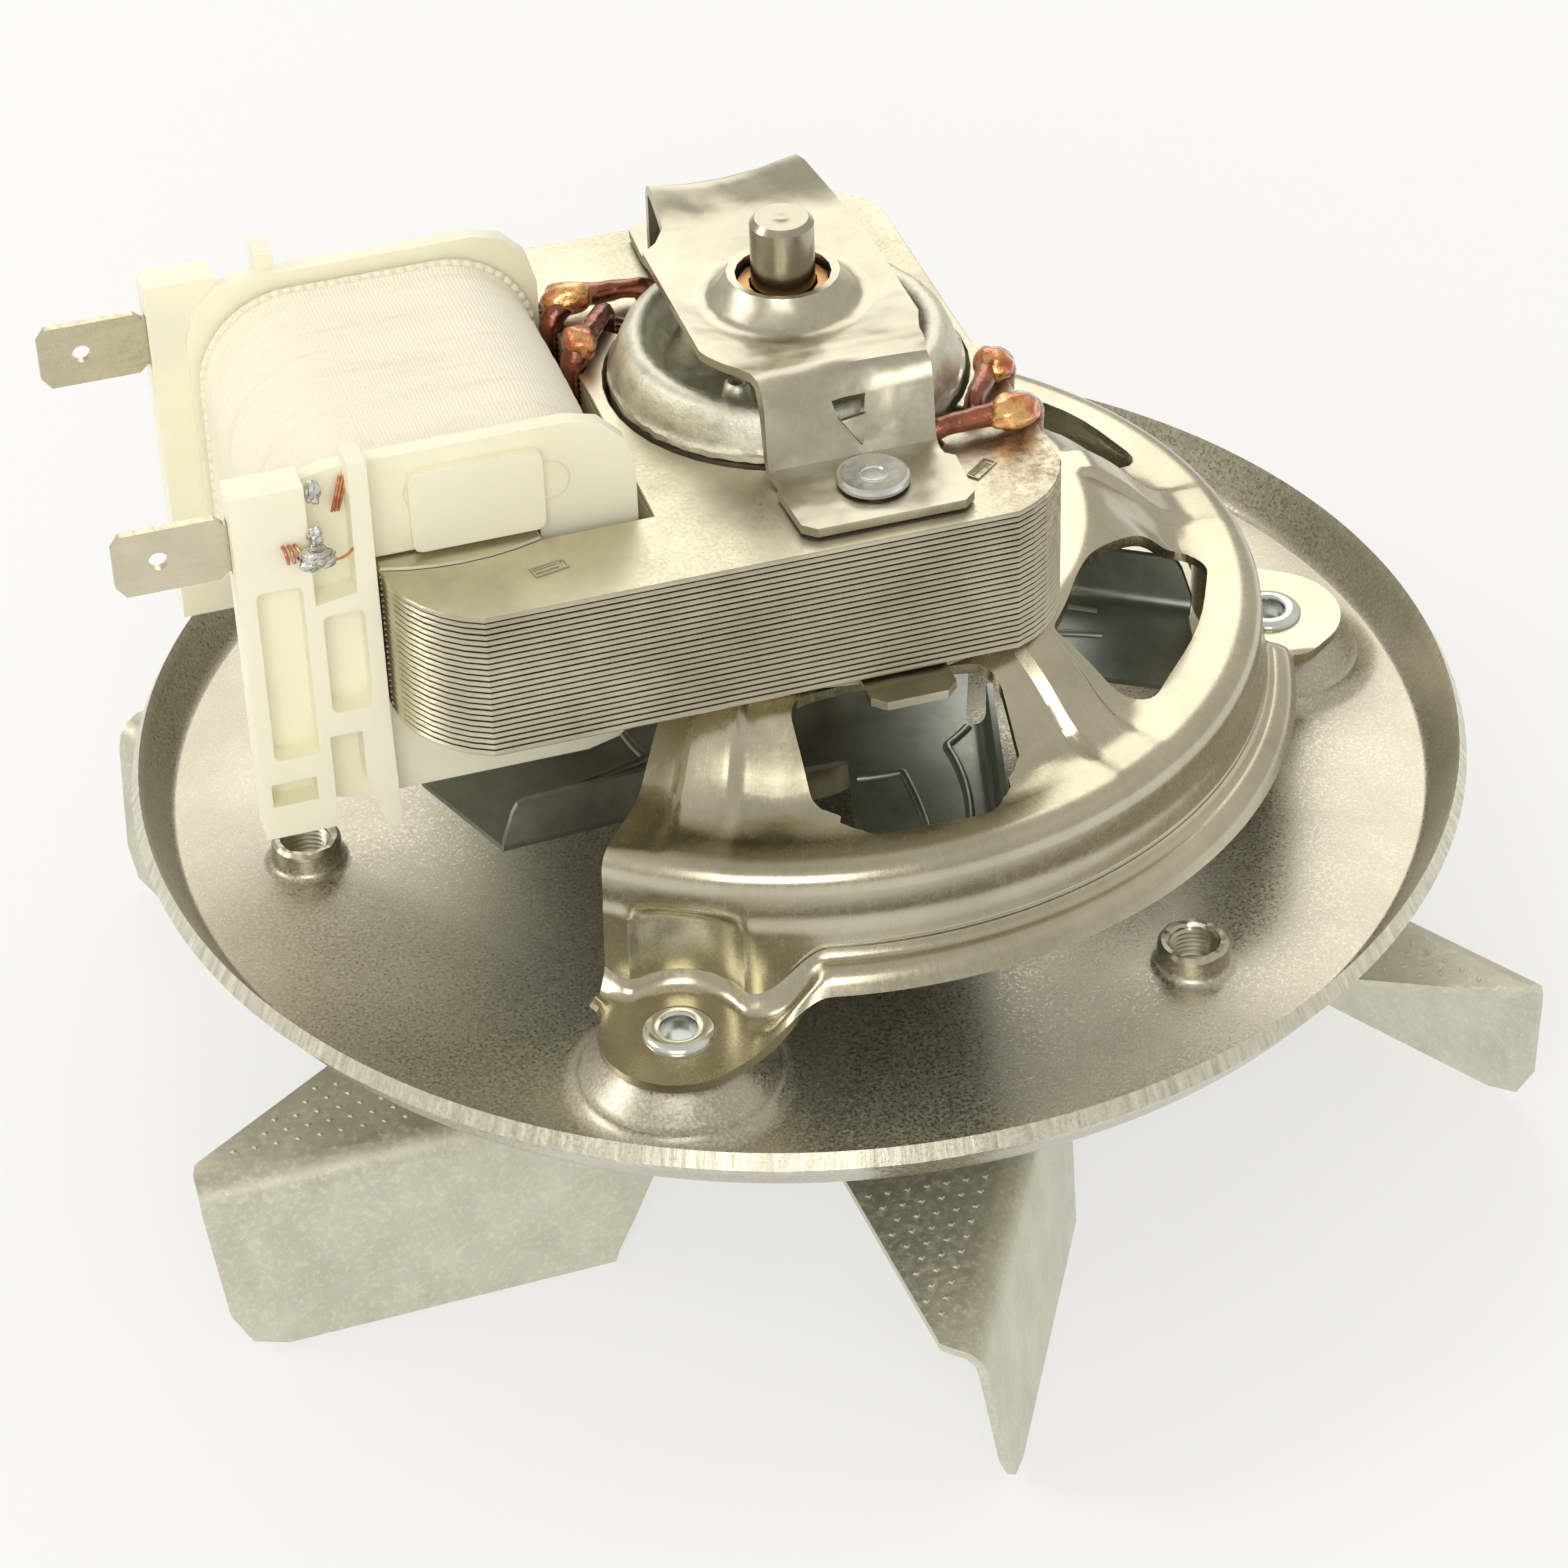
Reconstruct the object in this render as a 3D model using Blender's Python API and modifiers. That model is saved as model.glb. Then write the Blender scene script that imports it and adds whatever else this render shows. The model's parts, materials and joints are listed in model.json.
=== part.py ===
"""Oven fan motor: a shaded-pole motor on a drawn mounting plate, with a small
cooling fan inside its bell bracket and a six-bladed impeller under the plate.

Lengths below are millimetres, heights are measured from the plate's floor.
The finished part is in metres, with its origin on the end of the shaft.
"""
import math

import bmesh
import bpy
from mathutils import Matrix, Vector

MM = 0.001

# Clearances
GAP = 0.3
RUNNING_GAP = 0.25

# Shaft
SHAFT_RADIUS = 3.0
SHAFT_TOP = 61.6
SHAFT_CHAMFER = 0.5

# Mounting plate: its bosses carry the bell bracket's ears, so they follow its wall
BELL_WALL_RADIUS = 45.3
BELL_BEAD_RADIUS = BELL_WALL_RADIUS + 3.7
BOSS_CIRCLE = BELL_BEAD_RADIUS + 1.0
BOSS_ANGLES = (-120.0, 0.0, 120.0)
BOSS_RADIUS = 9.3
BOSS_BLEND = 2.0
BOSS_HEIGHT = 4.3
BOSS_SEAT = 5.0
BOSS_STEPS = 14
COLLAR_ANGLES = (-60.0, 60.0, 180.0)
COLLAR_BORE = 2.3
COLLAR_STEPS = 12
COLLAR_HEIGHT = 2.5
PLATE_SHEET = 1.0
PLATE_RADIUS = BOSS_CIRCLE + 15.0
PLATE_RIM_HEIGHT = 5.0
PLATE_RIM_LEAN = 2.3
PLATE_FOOT_CURVE = 1.0
PLATE_EDGE_OUT = 0.8
PLATE_EDGE_DROP = 1.45
PLATE_BORE = 7.5
PLATE_STEPS = 48

# Lamination stack
STACK_BASE = 30.2
STACK_HEIGHT = 15.0
STACK_HALF_WIDTH = 30.0
STACK_BORE = 17.2
STACK_LEFT = -44.0
STACK_RIGHT = 18.9
STACK_STEP = 0.9
STACK_WINDOW_RIGHT = -18.6
CORE_RIGHT = -28.95
CORE_END = 19.3
CORE_END_BULGE = 1.3
STAKE_LENGTH = 2.6
STAKE_WIDTH = 1.1
STAKE_DEPTH = 0.4

# Shading rings
SHADE_WIRE = 1.0
SHADE_LIFT = 0.65
SHADE_SLOTS = ((117.0, 18.7), (134.4, 19.5))
SHADE_OUTER_LEGS = (14.8, 7.0)
SHADE_HEADS = ((-16.3, 16.5), (-17.4, 8.4))
SHADE_REACH = math.hypot(STACK_RIGHT + GAP, SHADE_OUTER_LEGS[0]) + SHADE_WIRE

# Bell bracket
BELL_SHEET = 0.9
BELL_RING_CLEARANCE = 0.55
BELL_TOP_BORE = SHADE_REACH + BELL_RING_CLEARANCE
BELL_TOP_RING = 2.6
BELL_TOP_RADIUS = BELL_TOP_BORE + BELL_TOP_RING
BELL_ROOF_RADIUS = BELL_WALL_RADIUS - 4.3
BELL_ROOF_HEIGHT = 20.5
BELL_WALL_FOOT = 12.4
BELL_BEAD_HEIGHT = 9.3
BELL_SPAN = 130.0
BELL_RIB_RISE = 1.1
BELL_RIB_HALF = 4.2
BELL_LAND_HALF = 8.0
BELL_LAND_IN = 3.4
BELL_LAND_CORNER = 5.0
EAR_RADIUS = 7.4
EAR_POCKET = 6.9
EAR_BLEND = 8.0
WINDOW_INNER = BELL_TOP_RADIUS + 0.8
WINDOW_OUTER = BELL_ROOF_RADIUS - 1.4
WINDOWS = ((-107.0, -72.0, 0.17, 0.0), (-47.0, -12.0, 0.0, 0.0),
           (12.0, 47.0, 0.0, 0.0), (72.0, 107.0, 0.0, 0.17))
WINDOW_CORNER = 3.0
WINDOW_BELLY = 1.5

# Tubular rivets in the ears
EAR_RIVET_BORE = 1.7
EAR_RIVET_WALL = 0.5
EAR_RIVET_HEAD = 3.45
EAR_RIVET_RISE = 0.75

# Rotor
ROTOR_RADIUS = 16.7
ROTOR_BARS = 12
ROTOR_BAR_CIRCLE = 13.6
ROTOR_BAR_RADIUS = 1.3
RING_RISE = 4.9
RING_CREST_RADIUS = 14.5
RING_DISH_RADIUS = 12.3
RING_DISH_RISE = 2.8
RING_BORE = 6.0
PIN_CIRCLE = 9.5
PIN_RADIUS = 1.4
PIN_HOLE = 0.55

# Bearing brackets
STRAP_SHEET = 0.9
STRAP_RISE = 8.8
STRAP_LEG_LEFT = 7.4
STRAP_LEG_RIGHT = 8.6
STRAP_PLATFORM_HALF = 10.5
STRAP_FRONT_LEG = 18.1
STRAP_REAR_LEG = 20.6
STRAP_FRONT_TIP = 28.2
STRAP_REAR_TIP = 28.9
STRAP_CREST_RISE = 2.0
STRAP_SADDLE = 1.1
STRAP_TROUGH = 1.8
STRAP_COLUMNS = 4
STRAP_EAR_TIP = 33.5
STRAP_EAR_LEFT = 2.6
STRAP_EAR_RIGHT = 5.6
HOUSING_RADIUS = 10.3
HOUSING_MOAT = 0.6
HOUSING_CONE = 7.0
HOUSING_RISE = 2.0
HOUSING_BORE = 4.5
BUSH_RADIUS = 5.4
BUSH_HALF_HEIGHT = 3.3
RETAINER_SHEET = 0.5
FRONT_RIVET = (1.1, -22.7)
REAR_RIVET = (0.0, 24.5)
RIVET_SHANK = 2.0
RIVET_HEAD = 3.4
RIVET_HEAD_RISE = 0.8

# Bobbin, winding and terminals
BOBBIN_WALL = 1.0
FLANGE_INNER = 16.2
FLANGE_SHEET = 1.6
FLANGE_WIDTH = 33.8
FLANGE_HEIGHT = 36.0
FLANGE_CORNER = 6.0
FLANGE_PAD = 1.0
BLOCK_LEFT = -56.7
BLOCK_RIGHT = -44.3
BLOCK_INNER = 17.0
BLOCK_OUTER = 20.5
BLOCK_BASE = 19.0
BLOCK_TOP = 56.0
BLOCK_COLUMN = 6.7
BLOCK_FORK = 3.0
WINDING_CORNER = 9.0
WINDING_BULGE = 0.35
TAB_WIDTH = 6.3
TAB_SHEET = 0.8
TAB_TIP = -67.0
TAB_ROOT = -51.5
TAB_HEIGHT = 49.95
TAB_PLANE = 18.1
TAB_HOLE = 0.9

# Cooling fan
COOLER_SHEET = 0.6
COOLER_CLEARANCE = 5.3
COOLER_RADIUS = BELL_WALL_RADIUS - COOLER_CLEARANCE
COOLER_HEIGHT = 11.5
COOLER_BLADES = 5
COOLER_BLADE_RISE = 5.6
COOLER_PHASE = -150.6
COOLER_BLADE_SPAN = 20.0
COOLER_FOLD = 3.0
COOLER_BLADE_LENGTH = COOLER_RADIUS * 0.6

# Impeller
FAN_SHEET = 0.8
FAN_BLADES = 6
FAN_HEIGHT = -11.2
FAN_BLADE_DROP = 18.8
FAN_BLADE_LEAN = 2.2
FAN_RADIUS = 75.6
FAN_PHASE = -95.05
FAN_FOLD = 61.0
FAN_BLADE_LENGTH = 47.0
FAN_FLANGE_EDGE = 93.0
FAN_BEND = 3.0
NUT_RADIUS = 5.6
NUT_HEIGHT = 4.0
WASHER_RADIUS = 8.0
WASHER_SHEET = 1.0
COLLET_RADIUS = 5.2
HUB_RADIUS = 6.4

PART_NAME = "oven_fan_motor"

for old in list(bpy.data.objects):
    bpy.data.objects.remove(old, do_unlink=True)

parts = bpy.data.collections.new(PART_NAME)
bpy.context.scene.collection.children.link(parts)


# Helpers

def polar(radius, degrees):
    angle = math.radians(degrees)
    return (radius * math.cos(angle), radius * math.sin(angle))


def ease(value):
    """Smooth step from 0 to 1."""
    value = min(1.0, max(0.0, value))
    return value * value * (3.0 - 2.0 * value)


def rounded(points, radius, steps=4, closed=True):
    """Give the corners of an outline their radii; one radius, or one for each corner."""
    result = []
    count = len(points)
    for i, corner in enumerate(points):
        size = radius[i] if isinstance(radius, (list, tuple)) else radius
        end = not closed and i in (0, count - 1)
        if size <= 0 or end:
            result.append(tuple(corner))
            continue
        here = Vector(corner)
        back = (Vector(points[i - 1]) - here).normalized()
        ahead = (Vector(points[(i + 1) % count]) - here).normalized()
        half = back.angle(ahead) / 2
        centre = here + (back + ahead).normalized() * (size / math.sin(half))
        first = here + back * (size / math.tan(half)) - centre
        last = here + ahead * (size / math.tan(half)) - centre
        start = math.atan2(first.y, first.x)
        sweep = math.atan2(last.y, last.x) - start
        sweep = (sweep + math.pi) % (2 * math.pi) - math.pi
        for k in range(steps + 1):
            angle = start + sweep * k / steps
            result.append((centre.x + size * math.cos(angle), centre.y + size * math.sin(angle)))
    return result


def arc_through(first, middle, last, steps):
    """Points on the circle through three points."""
    ax, ay = first
    bx, by = middle
    cx, cy = last
    d = 2 * (ax * (by - cy) + bx * (cy - ay) + cx * (ay - by))
    a2, b2, c2 = ax * ax + ay * ay, bx * bx + by * by, cx * cx + cy * cy
    ux = (a2 * (by - cy) + b2 * (cy - ay) + c2 * (ay - by)) / d
    uy = (a2 * (cx - bx) + b2 * (ax - cx) + c2 * (bx - ax)) / d
    radius = math.hypot(ax - ux, ay - uy)
    start = math.atan2(ay - uy, ax - ux)
    mid = (math.atan2(by - uy, bx - ux) - start) % (2 * math.pi)
    sweep = (math.atan2(cy - uy, cx - ux) - start) % (2 * math.pi)
    if mid > sweep:
        sweep -= 2 * math.pi
    return [(ux + radius * math.cos(start + sweep * k / steps),
             uy + radius * math.sin(start + sweep * k / steps)) for k in range(steps + 1)]


def circle(radius, steps, centre=(0.0, 0.0), phase=0.0):
    return [(centre[0] + radius * math.cos(phase + 2 * math.pi * k / steps),
             centre[1] + radius * math.sin(phase + 2 * math.pi * k / steps)) for k in range(steps)]


def add_object(name, mesh):
    obj = bpy.data.objects.new(name, mesh)
    parts.objects.link(obj)
    return obj


def apply_modifiers(obj):
    depsgraph = bpy.context.evaluated_depsgraph_get()
    mesh = bpy.data.meshes.new_from_object(obj.evaluated_get(depsgraph))
    obj.modifiers.clear()
    old_mesh = obj.data
    obj.data = mesh
    bpy.data.meshes.remove(old_mesh)


def turned(name, profile, steps, closed=True):
    """A profile of radius and height points, down its outer side, turned about Z."""
    bm = bmesh.new()
    verts = [bm.verts.new((r * MM, 0.0, z * MM)) for r, z in profile]
    for a, b in zip(verts, verts[1:]):
        bm.edges.new((a, b))
    if closed:
        bm.edges.new((verts[-1], verts[0]))
    mesh = bpy.data.meshes.new(name)
    bm.to_mesh(mesh)
    bm.free()
    obj = add_object(name, mesh)
    screw = obj.modifiers.new("turn", "SCREW")
    screw.axis = "Z"
    screw.steps = steps
    screw.render_steps = steps
    screw.use_merge_vertices = True
    screw.merge_threshold = 0.000001
    apply_modifiers(obj)
    return obj


def prism(name, outlines, low, high, axis="Z"):
    """A flat outline, with holes after it, made solid between two heights.

    With axis Y the outline's points are x and z, and low and high are along Y.
    """
    curve = bpy.data.curves.new(name, "CURVE")
    curve.dimensions = "2D"
    curve.fill_mode = "BOTH"
    curve.extrude = (high - low) / 2 * MM
    for outline in outlines:
        spline = curve.splines.new("POLY")
        spline.points.add(len(outline) - 1)
        for point, (x, y) in zip(spline.points, outline):
            point.co = (x * MM, y * MM, 0.0, 1.0)
        spline.use_cyclic_u = True
    obj = add_object(name, curve)
    middle = (low + high) / 2 * MM
    if axis == "Z":
        obj.location = (0.0, 0.0, middle)
    else:
        obj.location = (0.0, middle, 0.0)
        obj.rotation_euler = (math.pi / 2, 0.0, 0.0)
    return curve_to_mesh(obj)


def curve_to_mesh(obj):
    name = obj.name
    depsgraph = bpy.context.evaluated_depsgraph_get()
    mesh = bpy.data.meshes.new_from_object(obj.evaluated_get(depsgraph))
    mesh.transform(obj.matrix_world)
    bm = bmesh.new()
    bm.from_mesh(mesh)
    bmesh.ops.remove_doubles(bm, verts=bm.verts, dist=0.000001)
    bmesh.ops.recalc_face_normals(bm, faces=bm.faces)
    bm.to_mesh(mesh)
    bm.free()
    old_curve = obj.data
    bpy.data.objects.remove(obj, do_unlink=True)
    bpy.data.curves.remove(old_curve)
    return add_object(name, mesh)


def wire(name, points, radius, closed=True, resolution=1):
    curve = bpy.data.curves.new(name, "CURVE")
    curve.dimensions = "3D"
    curve.bevel_depth = radius * MM
    curve.bevel_resolution = resolution
    curve.use_fill_caps = True
    spline = curve.splines.new("POLY")
    spline.points.add(len(points) - 1)
    for point, place in zip(spline.points, points):
        point.co = (place[0] * MM, place[1] * MM, place[2] * MM, 1.0)
    spline.use_cyclic_u = closed
    return curve_to_mesh(add_object(name, curve))


def box(name, low, high):
    bm = bmesh.new()
    bmesh.ops.create_cube(bm, size=1.0)
    size = [(h - l) * MM for l, h in zip(low, high)]
    centre = [(h + l) / 2 * MM for l, h in zip(low, high)]
    bmesh.ops.scale(bm, vec=size, verts=bm.verts)
    bmesh.ops.translate(bm, vec=centre, verts=bm.verts)
    mesh = bpy.data.meshes.new(name)
    bm.to_mesh(mesh)
    bm.free()
    return add_object(name, mesh)


def rod(name, radius, low, high, centre=(0.0, 0.0), segments=24):
    bm = bmesh.new()
    bmesh.ops.create_cone(bm, cap_ends=True, segments=segments, radius1=radius * MM,
                          radius2=radius * MM, depth=(high - low) * MM)
    place = (centre[0] * MM, centre[1] * MM, (low + high) / 2 * MM)
    bmesh.ops.translate(bm, vec=place, verts=bm.verts)
    mesh = bpy.data.meshes.new(name)
    bm.to_mesh(mesh)
    bm.free()
    return add_object(name, mesh)


def rows_skin(name, rows):
    bm = bmesh.new()
    grid = [[bm.verts.new([c * MM for c in point]) for point in row] for row in rows]
    for upper, lower in zip(grid, grid[1:]):
        for a, b, c, d in zip(upper, upper[1:], lower[1:], lower):
            bm.faces.new((a, b, c, d))
    mesh = bpy.data.meshes.new(name)
    bm.to_mesh(mesh)
    bm.free()
    return add_object(name, mesh)


def flat_skin(name, outlines, height):
    """The filled area between an outline and the holes after it, as an open face."""
    curve = bpy.data.curves.new(name, "CURVE")
    curve.dimensions = "2D"
    curve.fill_mode = "BOTH"
    for outline in outlines:
        spline = curve.splines.new("POLY")
        spline.points.add(len(outline) - 1)
        for point, (x, y) in zip(spline.points, outline):
            point.co = (x * MM, y * MM, 0.0, 1.0)
        spline.use_cyclic_u = True
    obj = add_object(name, curve)
    obj.location = (0.0, 0.0, height * MM)
    return curve_to_mesh(obj)


def merge_skins(name, skins):
    """Sew open skins together along the edges they share, facing up."""
    bm = bmesh.new()
    for skin in skins:
        bm.from_mesh(skin.data)
        mesh = skin.data
        bpy.data.objects.remove(skin, do_unlink=True)
        bpy.data.meshes.remove(mesh)
    bmesh.ops.remove_doubles(bm, verts=bm.verts, dist=0.000005)
    bmesh.ops.recalc_face_normals(bm, faces=bm.faces)
    upward = sum(face.normal.z * face.calc_area() for face in bm.faces)
    if upward < 0:
        bmesh.ops.reverse_faces(bm, faces=bm.faces)
    mesh = bpy.data.meshes.new(name)
    bm.to_mesh(mesh)
    bm.free()
    return add_object(name, mesh)


def thicken(obj, thickness):
    solid = obj.modifiers.new("thickness", "SOLIDIFY")
    solid.thickness = thickness * MM
    solid.offset = -1.0
    solid.use_even_offset = True
    solid.use_quality_normals = True
    apply_modifiers(obj)


def combine(obj, tool, operation):
    """Join or cut with a tool solid, which is used up."""
    modifier = obj.modifiers.new(operation.lower(), "BOOLEAN")
    modifier.operation = operation
    modifier.solver = "EXACT"
    modifier.object = tool
    apply_modifiers(obj)
    tool_mesh = tool.data
    bpy.data.objects.remove(tool, do_unlink=True)
    bpy.data.meshes.remove(tool_mesh)


def cut(obj, tool):
    combine(obj, tool, "DIFFERENCE")


def join(obj, tool):
    combine(obj, tool, "UNION")


def turn_about_z(obj, degrees, offset=(0.0, 0.0)):
    """Carry a tool or a piece to its place on a circle."""
    move = Matrix.Translation((offset[0] * MM, offset[1] * MM, 0.0))
    obj.data.transform(Matrix.Rotation(math.radians(degrees), 4, "Z") @ move)


def finish(obj, colour, roughness, metallic, smooth_angle=35.0):
    material = bpy.data.materials.new(obj.name + "_surface")
    material.use_nodes = True
    shader = material.node_tree.nodes["Principled BSDF"]
    shader.inputs["Base Color"].default_value = (*colour, 1.0)
    shader.inputs["Roughness"].default_value = roughness
    shader.inputs["Metallic"].default_value = metallic
    obj.data.materials.clear()
    obj.data.materials.append(material)
    obj.data.shade_smooth()
    obj.data.set_sharp_from_angle(angle=math.radians(smooth_angle))
    return obj


BRIGHT_STEEL = (0.78, 0.74, 0.62)
GREY_STEEL = (0.60, 0.58, 0.52)
ZINC = (0.80, 0.80, 0.78)
LAMINATION = (0.50, 0.47, 0.42)
CAST_ALUMINIUM = (0.66, 0.66, 0.64)
GALVANISED = (0.38, 0.42, 0.43)
BRONZE = (0.62, 0.36, 0.16)
COPPER = (0.62, 0.22, 0.12)
CREAM = (0.88, 0.86, 0.74)
TAPE = (0.90, 0.87, 0.80)


# Mounting plate: a drawn dish, three raised bosses and three pulled threads

def build_plate():
    """Upper face as one skin of rim, floor, bosses and collars, then thickened downwards."""
    foot = PLATE_RADIUS - PLATE_RIM_LEAN
    floor = foot - PLATE_FOOT_CURVE
    rim = turned("rim", [(PLATE_RADIUS, PLATE_RIM_HEIGHT), (foot + 0.2, 1.5),
                         (foot - PLATE_FOOT_CURVE * 0.4, 0.35), (floor, 0.0)],
                 PLATE_STEPS, closed=False)

    # Boss: a soft outer blend, a cone and a flat seat for the ear
    edge = BOSS_RADIUS + BOSS_BLEND
    hole = EAR_RIVET_BORE + EAR_RIVET_WALL + GAP
    boss_face = [(hole, BOSS_HEIGHT), (BOSS_SEAT, BOSS_HEIGHT), (BOSS_SEAT + 1.1, BOSS_HEIGHT - 0.4),
                 (BOSS_RADIUS, 1.0), (edge, 0.0)]
    # Collar: pulled up through the sheet, so its wall is as thick as the sheet
    outer = COLLAR_BORE + PLATE_SHEET
    collar_edge = outer + 1.0
    collar_face = [(outer, COLLAR_HEIGHT), (outer, 0.6), (collar_edge, 0.0)]

    skins = [rim]
    outlines = [circle(floor, PLATE_STEPS), circle(PLATE_BORE, 24)]
    for degrees in BOSS_ANGLES:
        turn = math.radians(degrees)
        outlines.append(circle(edge, BOSS_STEPS, polar(BOSS_CIRCLE, degrees), turn))
        boss = turned("boss", boss_face, BOSS_STEPS, closed=False)
        turn_about_z(boss, degrees, (BOSS_CIRCLE, 0.0))
        skins.append(boss)
    for degrees in COLLAR_ANGLES:
        turn = math.radians(degrees)
        outlines.append(circle(collar_edge, COLLAR_STEPS, polar(BOSS_CIRCLE, degrees), turn))
        collar = turned("collar", collar_face, COLLAR_STEPS, closed=False)
        turn_about_z(collar, degrees, (BOSS_CIRCLE, 0.0))
        skins.append(collar)
    skins.append(flat_skin("floor", outlines, 0.0))
    plate = merge_skins("mounting_plate", skins)
    thicken(plate, PLATE_SHEET)

    # The rim's cut edge is sheared, so it slopes down and out
    for vert in plate.data.vertices:
        if math.hypot(vert.co.x, vert.co.y) > (PLATE_RADIUS + PLATE_SHEET * 0.5) * MM:
            direction = Vector((vert.co.x, vert.co.y, 0.0)).normalized()
            vert.co = direction * (PLATE_RADIUS + PLATE_EDGE_OUT) * MM
            vert.co.z = (PLATE_RIM_HEIGHT - PLATE_EDGE_DROP) * MM
    return finish(plate, GREY_STEEL, 0.55, 1.0)


# Bell bracket: a section that changes round the shaft, from ear to bead

STRAP_FOOT_TOP = STACK_BASE + STACK_HEIGHT + GAP + STRAP_SHEET
MIRROR_HEIGHT = 2 * STACK_BASE + STACK_HEIGHT
LOWER_FOOT_BASE = MIRROR_HEIGHT - STRAP_FOOT_TOP
BELL_TOP = LOWER_FOOT_BASE - GAP
EAR_TOP = BOSS_HEIGHT + GAP + BELL_SHEET


def bell_section(degrees):
    """Outer surface from the top bore down to the free edge, as radius and height."""
    ear_offset = min(abs(degrees - a) for a in BOSS_ANGLES)
    arc = math.radians(ear_offset) * BOSS_CIRCLE
    rib_offset = min(abs(degrees - a) for a in (-120.0, -60.0, 0.0, 60.0, 120.0))
    rib_arc = math.radians(rib_offset) * 34.0
    rib = BELL_RIB_RISE * ease(1.0 - rib_arc / BELL_RIB_HALF)

    sine = BOSS_CIRCLE * math.sin(math.radians(ear_offset))
    cosine = BOSS_CIRCLE * math.cos(math.radians(ear_offset))
    foot = BELL_WALL_RADIUS + 0.6
    wall = foot
    if abs(sine) < EAR_POCKET:
        wall = min(foot, cosine - math.sqrt(EAR_POCKET ** 2 - sine ** 2))
    depth = foot - wall
    # The ear's round end runs into the bead's edge in a soft curve, but not at the free ends
    beyond = abs(degrees) > BOSS_ANGLES[-1]
    turn_in = EAR_RADIUS if beyond else EAR_RADIUS * 0.8
    lip = BELL_BEAD_RADIUS
    if sine < turn_in:
        lip = max(lip, cosine + math.sqrt(EAR_RADIUS ** 2 - sine ** 2))
    elif sine < turn_in + EAR_BLEND and not beyond:
        reach = math.sqrt(BOSS_CIRCLE ** 2 - turn_in ** 2) + EAR_RADIUS * 0.6 - lip
        lip += reach * (1.0 - (sine - turn_in) / EAR_BLEND) ** 2
    down = 1.0 - ease((arc - 6.6) / 7.5)

    roof = BELL_ROOF_HEIGHT
    slope = BELL_ROOF_RADIUS - BELL_TOP_RADIUS
    head = [
        (BELL_TOP_BORE, BELL_TOP),
        (BELL_TOP_RADIUS, BELL_TOP),
        (BELL_TOP_RADIUS + slope * 0.15, BELL_TOP - 1.0 + rib),
        (BELL_TOP_RADIUS + slope * 0.66, roof + 1.2 + rib),
        (BELL_ROOF_RADIUS - 1.6, roof + 0.15 + rib * 0.4),
        (BELL_ROOF_RADIUS + 1.1, roof - 0.15),
        (BELL_ROOF_RADIUS + 2.9, roof - 1.3),
        (BELL_ROOF_RADIUS + 3.9, roof - 3.2),
    ]
    crease = BELL_WALL_FOOT * (1 - down) + (EAR_TOP + 1.7) * down
    bead = [
        (wall - 0.2 + depth * 0.1, BELL_WALL_FOOT + 1.9),
        (wall, crease),
        (wall + 0.45 + 0.1 * down, crease - 0.9 - 0.3 * down),
        (wall + 1.5, (crease - 1.0) * (1 - down) + EAR_TOP * down),
    ]
    mid = wall + 1.5 + (lip - wall - 1.5) * 0.6
    bead += [
        (mid, (BELL_WALL_FOOT - 1.7) * (1 - down) + EAR_TOP * down),
        (lip, BELL_BEAD_HEIGHT * (1 - down) + EAR_TOP * down),
    ]
    return head + bead


def bell_angles():
    """Close together round the ears and ribs, wide apart between them."""
    offsets = [0.0, 4.4, 7.0, 8.6, 11.0, 14.5, 24.0]
    rib_offsets = [0.0, 3.6, 7.2, 16.0, 26.0]
    angles = set()
    for centre in BOSS_ANGLES:
        for offset in offsets:
            angles.add(round(centre - offset, 3))
            angles.add(round(centre + offset, 3))
    for centre in (-60.0, 60.0):
        for offset in rib_offsets:
            angles.add(round(centre - offset, 3))
            angles.add(round(centre + offset, 3))
    inside = sorted(a for a in angles if abs(a) < BELL_SPAN - 0.5)
    return [-BELL_SPAN] + inside + [BELL_SPAN]


def window_outline(first, last, hold_first, hold_last):
    """One window's edge; a share of its depth can hold an outer corner in."""
    depth = WINDOW_OUTER - WINDOW_INNER
    corners = [polar(WINDOW_INNER, first + 1.0), polar(WINDOW_OUTER - hold_first * depth, first)]
    middle = (first + last) / 2
    corners.append(polar(WINDOW_OUTER + WINDOW_BELLY, middle))
    corners += [polar(WINDOW_OUTER - hold_last * depth, last), polar(WINDOW_INNER, last - 1.0)]
    corner = min(WINDOW_CORNER, depth * 0.25)
    return rounded(corners, [corner / 3, corner, corner * 2, corner, corner / 3], 2)


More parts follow.
